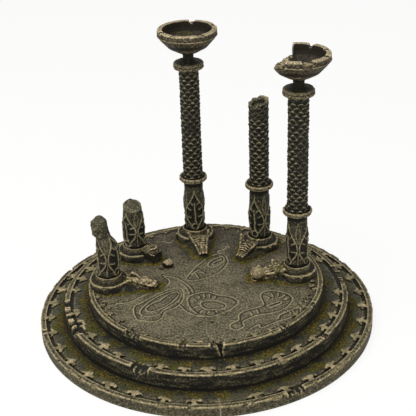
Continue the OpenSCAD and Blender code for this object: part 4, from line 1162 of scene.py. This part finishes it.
def buildPlinth(key, look):
    root, discR, seed = look["root"], look["disc"], look["seed"]
    bm = bmesh.new()
    rod(bm, (0, 0, -0.5), (0, 0, 5.4), discR + 0.25, discR - 0.15, 96)
    rod(bm, (0, 0, 4.9), (0, 0, 9.7), 10.1, 9.2, 96)
    end = columns[key]["prow"] - look["short"]
    wedge(bm, 0.0, end, (root, 4.1), (-0.4, -0.4), (6.0, look["endZ"]), (8.2, 2.9))
    wedge(bm, -1.0, 8.0, (root + 0.5, root - 3.2), (-0.4, -0.4), (5.5, 4.6), (root + 0.2, root - 4.6))
    mesh = fused(bm, titled("plinth", key), 0.43)
    points, normals = meshPoints(mesh), meshNormals(mesh)
    r, z = polar(points)[0], points[:, 2]
    up, side = smooth(0.4, 0.85, normals[:, 2]), smooth(0.5, 0.2, np.abs(normals[:, 2]))
    # two raised rings on the disc, and a groove inside the cup's lip
    lift = (0.5 * bell(r - discR + 0.9, 0.6) + 0.4 * bell(r - discR + 2.7, 0.45)) * up * (z > 4.6) * (r > 10.3)
    groove, lip = up * smooth(8.7, 8.2, r) * (z > 8), up * bell(r - 9.0, 0.45) * (z > 8)
    points[:, 2] += lift - 1.5 * groove + 0.15 * lip
    coarse = 0.3 * rough(points, 3.6, seed) + 0.12 * rough(points, 1.0, seed + 3, 2)
    chip = smooth(0.25, 0.8, rough(points, 3.0, seed + 5)) * smooth(discR - 1.5, discR, r)
    points = pushOut(points, normals, coarse * (1 - 0.5 * groove) - 0.5 * chip * (z > 3.6))
    setMeshPoints(mesh, points)
    wear, washAndShade = standsProud(mesh, 9)
    wear = wear * smooth(discR + 2.4, discR + 0.9, r) * smooth(3.0, 4.6, z)
    wear = most(0.7 * wear, most(0.64 * lift, 0.42 * lip) * (0.6 + 0.7 * rough(points, 2.6, seed + 6)))
    # painted shade on the sides, deepest near the floor, with random patches of wash
    sidesShadeAndWash = 0.32 * side * smooth(6, 1, z) + 0.2 * side * rough(points, 3.0, seed + 8)
    ditch = up * smooth(discR - 1.4, discR - 2.4, r) * smooth(9.9, 10.5, r) * (z < 7)
    beyond = smooth(discR + 0.6, discR + 2.5, r)
    washAndShade = most(washAndShade, groove, sidesShadeAndWash, 0.35 * ditch, 0.2 * beyond)
    mottle = rough(points, 4.0, seed + 7)
    moss = 0.42 * smooth(1.5, 0.2, z) * (0.9 + 0.4 * mottle) + 0.46 * ditch * (0.7 + 0.5 * mottle)
    moss = moss + 0.16 * smooth(0.2, 0.9, mottle) + 0.42 * beyond * (0.8 + 0.6 * mottle)
    points[:, 2] = np.maximum(points[:, 2], -0.4) + floorZ
    finishOn(key, mesh, points, ["plinth_" + key], "carved", wear, washAndShade, moss, 0.14 * side)


# ---- heads: x runs along the prow; a mark is (centre, reach, depth) of a hollow
def flatHead(tip):
    # a flat horned face that slopes down its prow to a square muzzle
    bm = bmesh.new()
    wedge(bm, 9.0, tip - 2.0, (5.6, 2.6), (2.5, 2.0), (9.4, 4.0))
    wedge(bm, 15.2, tip - 0.9, (6.0, 2.8), (8.3, 3.3), (10.5, 5.4))
    for side in (-1, 1):
        bar(bm, (14.6, side * 7.0, 11.8), (tip - 7.5, side * 3.6, 7.3), 1.15, 0.85)
        bar(bm, (tip - 7.5, side * 3.6, 7.3), (tip - 1.2, side * 2.4, 5.2), 0.85, 0.8)
        bar(bm, (13.0, side * 7.6, 14.4), (15.2, side * 6.9, 11.4), 1.15, 1.3)
        lump(bm, (14.6, side * 5.2, 11.0), (1.3, 1.3, 1.0))
        lump(bm, (tip - 3.9, side * 1.7, 5.6), (2.9, 1.5, 1.25), side * 8)
        lump(bm, (tip - 8.6, side * 3.0, 7.2), (1.4, 1.1, 0.9))
    bar(bm, (tip - 9.5, 0, 8.0), (tip - 1.6, 0, 5.5), 0.7, 0.9)
    for k, along in enumerate((16.6, 18.7, 20.8, 22.7)):
        drop = (along - 14.0) * 0.31
        for side in (-1, 1):
            bar(bm, (along - 0.5, 0, 11.2 - drop), (along + 0.4, side * (4.0 - 0.5 * k), 10.9 - drop), 0.6, 0.45)
    marks = [((tip - 1.0, 0, 3.4), (1.6, 2.6, 1.0), 1.0), ((tip - 7.4, 2.0, 7.3), (0.9, 0.8, 0.9), 0.6),
             ((tip - 7.4, -2.0, 7.3), (0.9, 0.8, 0.9), 0.6), ((tip - 1.4, 1.5, 5.6), (0.7, 0.7, 0.7), 0.5),
             ((tip - 1.4, -1.5, 5.6), (0.7, 0.7, 0.7), 0.5)]
    return bm, marks


def roundHead(tip):
    # a blunt round muzzle, open below, on a mossy neck with two low ridges
    bm = bmesh.new()
    wedge(bm, 9.0, tip - 7.0, (5.8, 3.0), (2.5, 2.0), (8.4, 5.6))
    bar(bm, (11.0, 0, 6.4), (tip - 8.0, 0, 4.4), 3.2, 2.4)
    for side in (-1, 1):
        bar(bm, (12.5, side * 6.4, 8.2), (tip - 8.0, side * 3.2, 5.9), 0.95, 0.8)
        bar(bm, (15.0, side * 1.8, 8.6), (tip - 8.0, side * 1.4, 6.6), 0.6, 0.6)
        bar(bm, (16.8, side * 6.0, 7.4), (15.8, side * 7.2, 10.6), 1.3, 0.9)
        bar(bm, (12.4, side * 6.2, 7.6), (11.6, side * 7.0, 10.0), 1.1, 0.8)
        lump(bm, (tip - 8.0, side * 3.0, 7.2), (1.6, 1.3, 1.3))
    lump(bm, (tip - 5.0, 0, 5.7), (5.2, 5.2, 5.1))
    lump(bm, (tip - 6.0, -1.4, 10.4), (1.3, 1.3, 1.1))
    lump(bm, (tip - 3.6, 0, 1.9), (3.4, 3.4, 1.0))
    marks = [((tip - 1.6, 0.0, 3.0), (2.6, 4.6, 1.1), 2.2), ((tip - 3.6, 3.8, 3.0), (2.8, 2.4, 1.1), 2.0),
             ((tip - 3.6, -3.8, 3.0), (2.8, 2.4, 1.1), 2.0), ((tip - 0.6, -1.6, 6.2), (0.9, 0.8, 0.9), 0.8),
             ((tip - 0.6, 1.6, 6.2), (0.9, 0.8, 0.9), 0.8), ((tip - 3.6, 3.9, 8.0), (0.9, 0.9, 0.8), 0.6),
             ((tip - 5.8, 4.2, 6.6), (0.9, 0.9, 0.8), 0.6), ((tip - 4.2, -3.9, 8.0), (0.9, 0.9, 0.8), 0.6),
             ((19.5, 0.0, 8.4), (2.4, 1.0, 1.2), 1.0), ((16.0, 3.2, 8.8), (2.4, 0.9, 1.0), 0.8)]
    return bm, marks


def lowHead(tip):
    # a long low head with an arched neck and a pierced eye
    bm = bmesh.new()
    wedge(bm, 9.0, tip - 6.0, (4.8, 2.6), (2.5, 2.0), (6.4, 4.4))
    for side in (-1, 1):
        bar(bm, (13.4, side * 5.4, 6.6), (16.5, side * 5.0, 9.2), 1.1, 1.0)
        bar(bm, (16.5, side * 5.0, 9.2), (20.5, side * 4.0, 8.2), 1.0, 0.9)
        bar(bm, (20.5, side * 4.0, 8.2), (22.5, side * 3.6, 6.2), 0.9, 0.9)
        bar(bm, (23.5, side * 3.2, 6.4), (tip - 3.0, side * 2.6, 5.2), 1.2, 0.9)
        lump(bm, (25.0, side * 3.1, 7.0), (1.5, 1.2, 1.2))
    bar(bm, (14.0, 0, 6.4), (21.0, 0, 6.2), 2.0, 2.2)
    lump(bm, (tip - 8.8, 0, 5.8), (4.4, 3.8, 3.2))
    lump(bm, (tip - 3.6, 0, 4.4), (3.4, 3.0, 2.3))
    lump(bm, (tip - 5.6, 0, 6.8), (1.5, 1.3, 1.5))
    for side in (-1, 1):
        lump(bm, (tip - 9.4, side * 2.4, 8.3), (1.3, 1.1, 1.2))
        lump(bm, (tip - 2.2, side * 1.6, 6.2), (1.2, 1.0, 0.9))
    marks = [((tip - 1.2, 0, 3.4), (2.2, 3.0, 0.8), 1.2), ((tip - 5.4, -3.2, 3.4), (3.0, 1.4, 0.7), 1.0),
             ((22.4, -3.6, 6.2), (1.6, 1.6, 1.2), 1.6), ((22.4, 3.6, 6.2), (1.6, 1.6, 1.2), 1.6),
             ((tip - 5.6, -2.8, 6.4), (1.0, 0.9, 0.9), 0.9), ((tip - 5.6, 2.8, 6.4), (1.0, 0.9, 0.9), 0.9),
             ((tip - 0.8, -1.2, 5.8), (0.7, 0.7, 0.7), 0.6), ((tip - 0.8, 1.2, 5.8), (0.7, 0.7, 0.7), 0.6)]
    return bm, marks


def brokenHead(tip):
    # what is left of one: a split block with a stub of horn and part of a ring
    bm = bmesh.new()
    wedge(bm, 8.0, tip - 1.0, (6.2, 5.2), (2.5, 2.0), (8.2, 7.4))
    lump(bm, (14.5, 0, 7.2), (6.0, 5.8, 3.6))
    bar(bm, (12.0, -5.6, 7.0), (11.0, -6.8, 10.0), 1.5, 1.1)
    ring = [(15.0 + 3.6 * math.cos(a), 3.6 * math.sin(a), 10.3) for a in np.radians(range(-60, 193, 36))]
    for k in (0, 1, 2, 3, 4, 6):
        bar(bm, ring[k], ring[k + 1], 0.75, 0.75)
    marks = [((15.0, 0.0, 10.4), (2.0, 2.0, 1.2), 0.9), ((19.5, -3.0, 6.0), (2.0, 2.0, 2.4), 1.4)]
    return bm, marks


# how rough a head is, how much the brush has caught, how much painted shade its undersides get, what counts as its top,
# and how pale that is
sharp = {"grain": 0.24, "dust": -0.04, "under": 0.6, "upFrom": (-0.2, 0.6), "pale": 0.08, "neckMoss": 0, "topMoss": 0}
blunt = {"grain": 0.36, "dust": 0.16, "under": 0.5, "upFrom": (-0.7, 0.3), "pale": 0.42, "neckMoss": 0.5, "topMoss": 0}
heads = {
    "back": sharp | {"node": "beast_head_back", "name": "beastHeadBack", "shape": flatHead, "tip": 32.2, "seed": 900,
                     "turn": 0.0, "move": (1.8, 0, -2.0)},
    "back_right": sharp | {"node": "beast_head_back_right", "name": "beastHeadBackRight", "shape": flatHead,
                           "tip": 28.4, "seed": 910, "turn": 0.0, "move": (0.4, 0, -1.8)},
    "right": blunt | {"node": "beast_head_right", "name": "beastHeadRight", "shape": roundHead, "tip": 34.2,
                      "seed": 920, "turn": 7.0, "move": (0, 0, -0.7)},
    "left": blunt | {"node": "beast_head_left", "name": "beastHeadLeft", "shape": lowHead, "tip": 36.2,
                     "seed": 930, "turn": -7.0, "move": (0, 0, -0.8)},
    "back_left": sharp | {"node": "broken_head_back_left", "name": "brokenHeadBackLeft", "shape": brokenHead,
                          "tip": 21.6, "seed": 940, "turn": 0.0, "move": (0, 0, 0), "topMoss": 0.28},
}


def buildHead(key, look):
    seed = look["seed"]
    bm, marks = look["shape"](look["tip"])
    mesh = fused(bm, look["name"], 0.34)
    points, normals = meshPoints(mesh), meshNormals(mesh)
    carve = most(*(depth * bulge(points, centre, reach) for centre, reach, depth in marks))
    coarse = look["grain"] * rough(points, 2.0, seed) + 0.12 * rough(points, 0.9, seed + 3, 2)
    points = pushOut(points, normals, coarse - carve)
    points[:, 0] = np.minimum(points[:, 0], look["tip"] + 0.2)
    setMeshPoints(mesh, points)
    wear, washAndShade = standsProud(mesh, 10, 0.26)
    upward = smooth(*look["upFrom"], meshNormals(mesh)[:, 2])
    flecks = noise(points, 1.7, seed + 9)
    wear = np.clip(wear * 1.1 + (look["dust"] + 0.24 * flecks) * upward, 0, 1) * (0.4 + 0.6 * upward)
    # faces that turn down get painted shade
    washAndShade = most(washAndShade, look["under"] * (1 - upward), smooth(0.2, 0.6, carve))
    mottle = rough(points, 3.4, seed + 7)
    moss = 0.3 * smooth(13.5, 9.0, points[:, 0]) + 0.2 * smooth(0.1, 0.9, mottle)
    moss += look["neckMoss"] * smooth(26.0, 17.0, points[:, 0]) * (0.8 + 0.5 * mottle)
    moss += look["topMoss"] * (0.6 + 0.6 * mottle) * upward
    c, s = (f(math.radians(look["turn"])) for f in (math.cos, math.sin))
    points = points @ np.array([(c, s, 0), (-s, c, 0), (0, 0, 1)]) + look["move"]
    points[:, 2] = np.maximum(points[:, 2], -0.3) + floorZ
    finishOn(key, mesh, points, [look["node"]], "head", wear, washAndShade, moss, look["pale"] * upward)


# chips are azimuth, distance from the middle, and size; the block has a smaller one beside it
rubble = {
    "chips": [(-87, 55, 1.0), (-159, 76, 2.0), (-153, 75, 1.6), (-139, 76, 1.9), (-7, 76.5, 1.9), (-12, 76, 2.3),
              (-20, 76, 1.7), (-24, 74.5, 1.5)],
    "block": {"centre": (-27.5, 20.3), "size": (4.7, 4.2, 3.9), "beside": (2.2, 1.8, 1.6)}, "seed": 960,
}


def buildStone(bm, centre, size, turn, seed):
    # a split stone: a ball with flats struck off it
    rng = np.random.default_rng(seed)
    one = bmesh.new()
    bmesh.ops.create_icosphere(one, subdivisions=4, radius=1.0)
    for _ in range(9):
        way = Vector(rng.normal(size=3)).normalized()
        for v in one.verts:
            over = v.co.dot(way) - rng.uniform(0.70, 0.74)
            if over > 0:
                v.co -= way * over
    bmesh.ops.scale(one, verts=one.verts, vec=size)
    turned(one, one.verts, turn)
    bmesh.ops.translate(one, verts=one.verts, vec=centre)
    addMesh(bm, one)


def buildRubble(look):
    chips, block, seed = bmesh.new(), bmesh.new(), look["seed"]
    for k, (azimuth, r, size) in enumerate(look["chips"]):
        a = math.radians(azimuth)
        centre = (r * math.cos(a), r * math.sin(a), floorZ + size * 0.55)
        buildStone(chips, centre, (size * 1.15, size, size * 0.85), 40 * k, seed + k)
    x, y = look["block"]["centre"]
    buildStone(block, (x, y, floorZ + 2.7), look["block"]["size"], 25, seed + 20)
    buildStone(block, (x - 4.6, y - 2.2, floorZ + 1.2), look["block"]["beside"], 60, seed + 21)
    for bm, name, node in ((chips, "rubbleChips", "rubble_chips"), (block, "fallenBlock", "fallen_block")):
        mesh = toMesh(bm, name)
        points, normals = meshPoints(mesh), meshNormals(mesh)
        points = pushOut(points, normals, 0.14 * rough(points, 1.2, seed + 30))
        setMeshPoints(mesh, points)
        wear, washAndShade = standsProud(mesh, 6)
        upward = smooth(-0.3, 0.6, normals[:, 2])
        moss = 0.35 * smooth(floorZ + 1.4, floorZ + 0.2, points[:, 2])
        # the undersides get painted shade
        washAndShade = most(washAndShade, 0.8 * (1 - upward))
        finishPiece(mesh, [node], "rubble", 0.7 * wear * upward, washAndShade, moss, 0.1 * upward)


for key, look in plinths.items():
    buildPlinth(key, look)
for key, look in heads.items():
    buildHead(key, look)
buildRubble(rubble)
print("plinths, heads and loose stones made")

# anything left of the engineering model is bare painted resin too
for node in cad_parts.values():
    if not node.hide_render:
        node.data.materials.clear()
        node.data.materials.append(finishes["carved"][0])
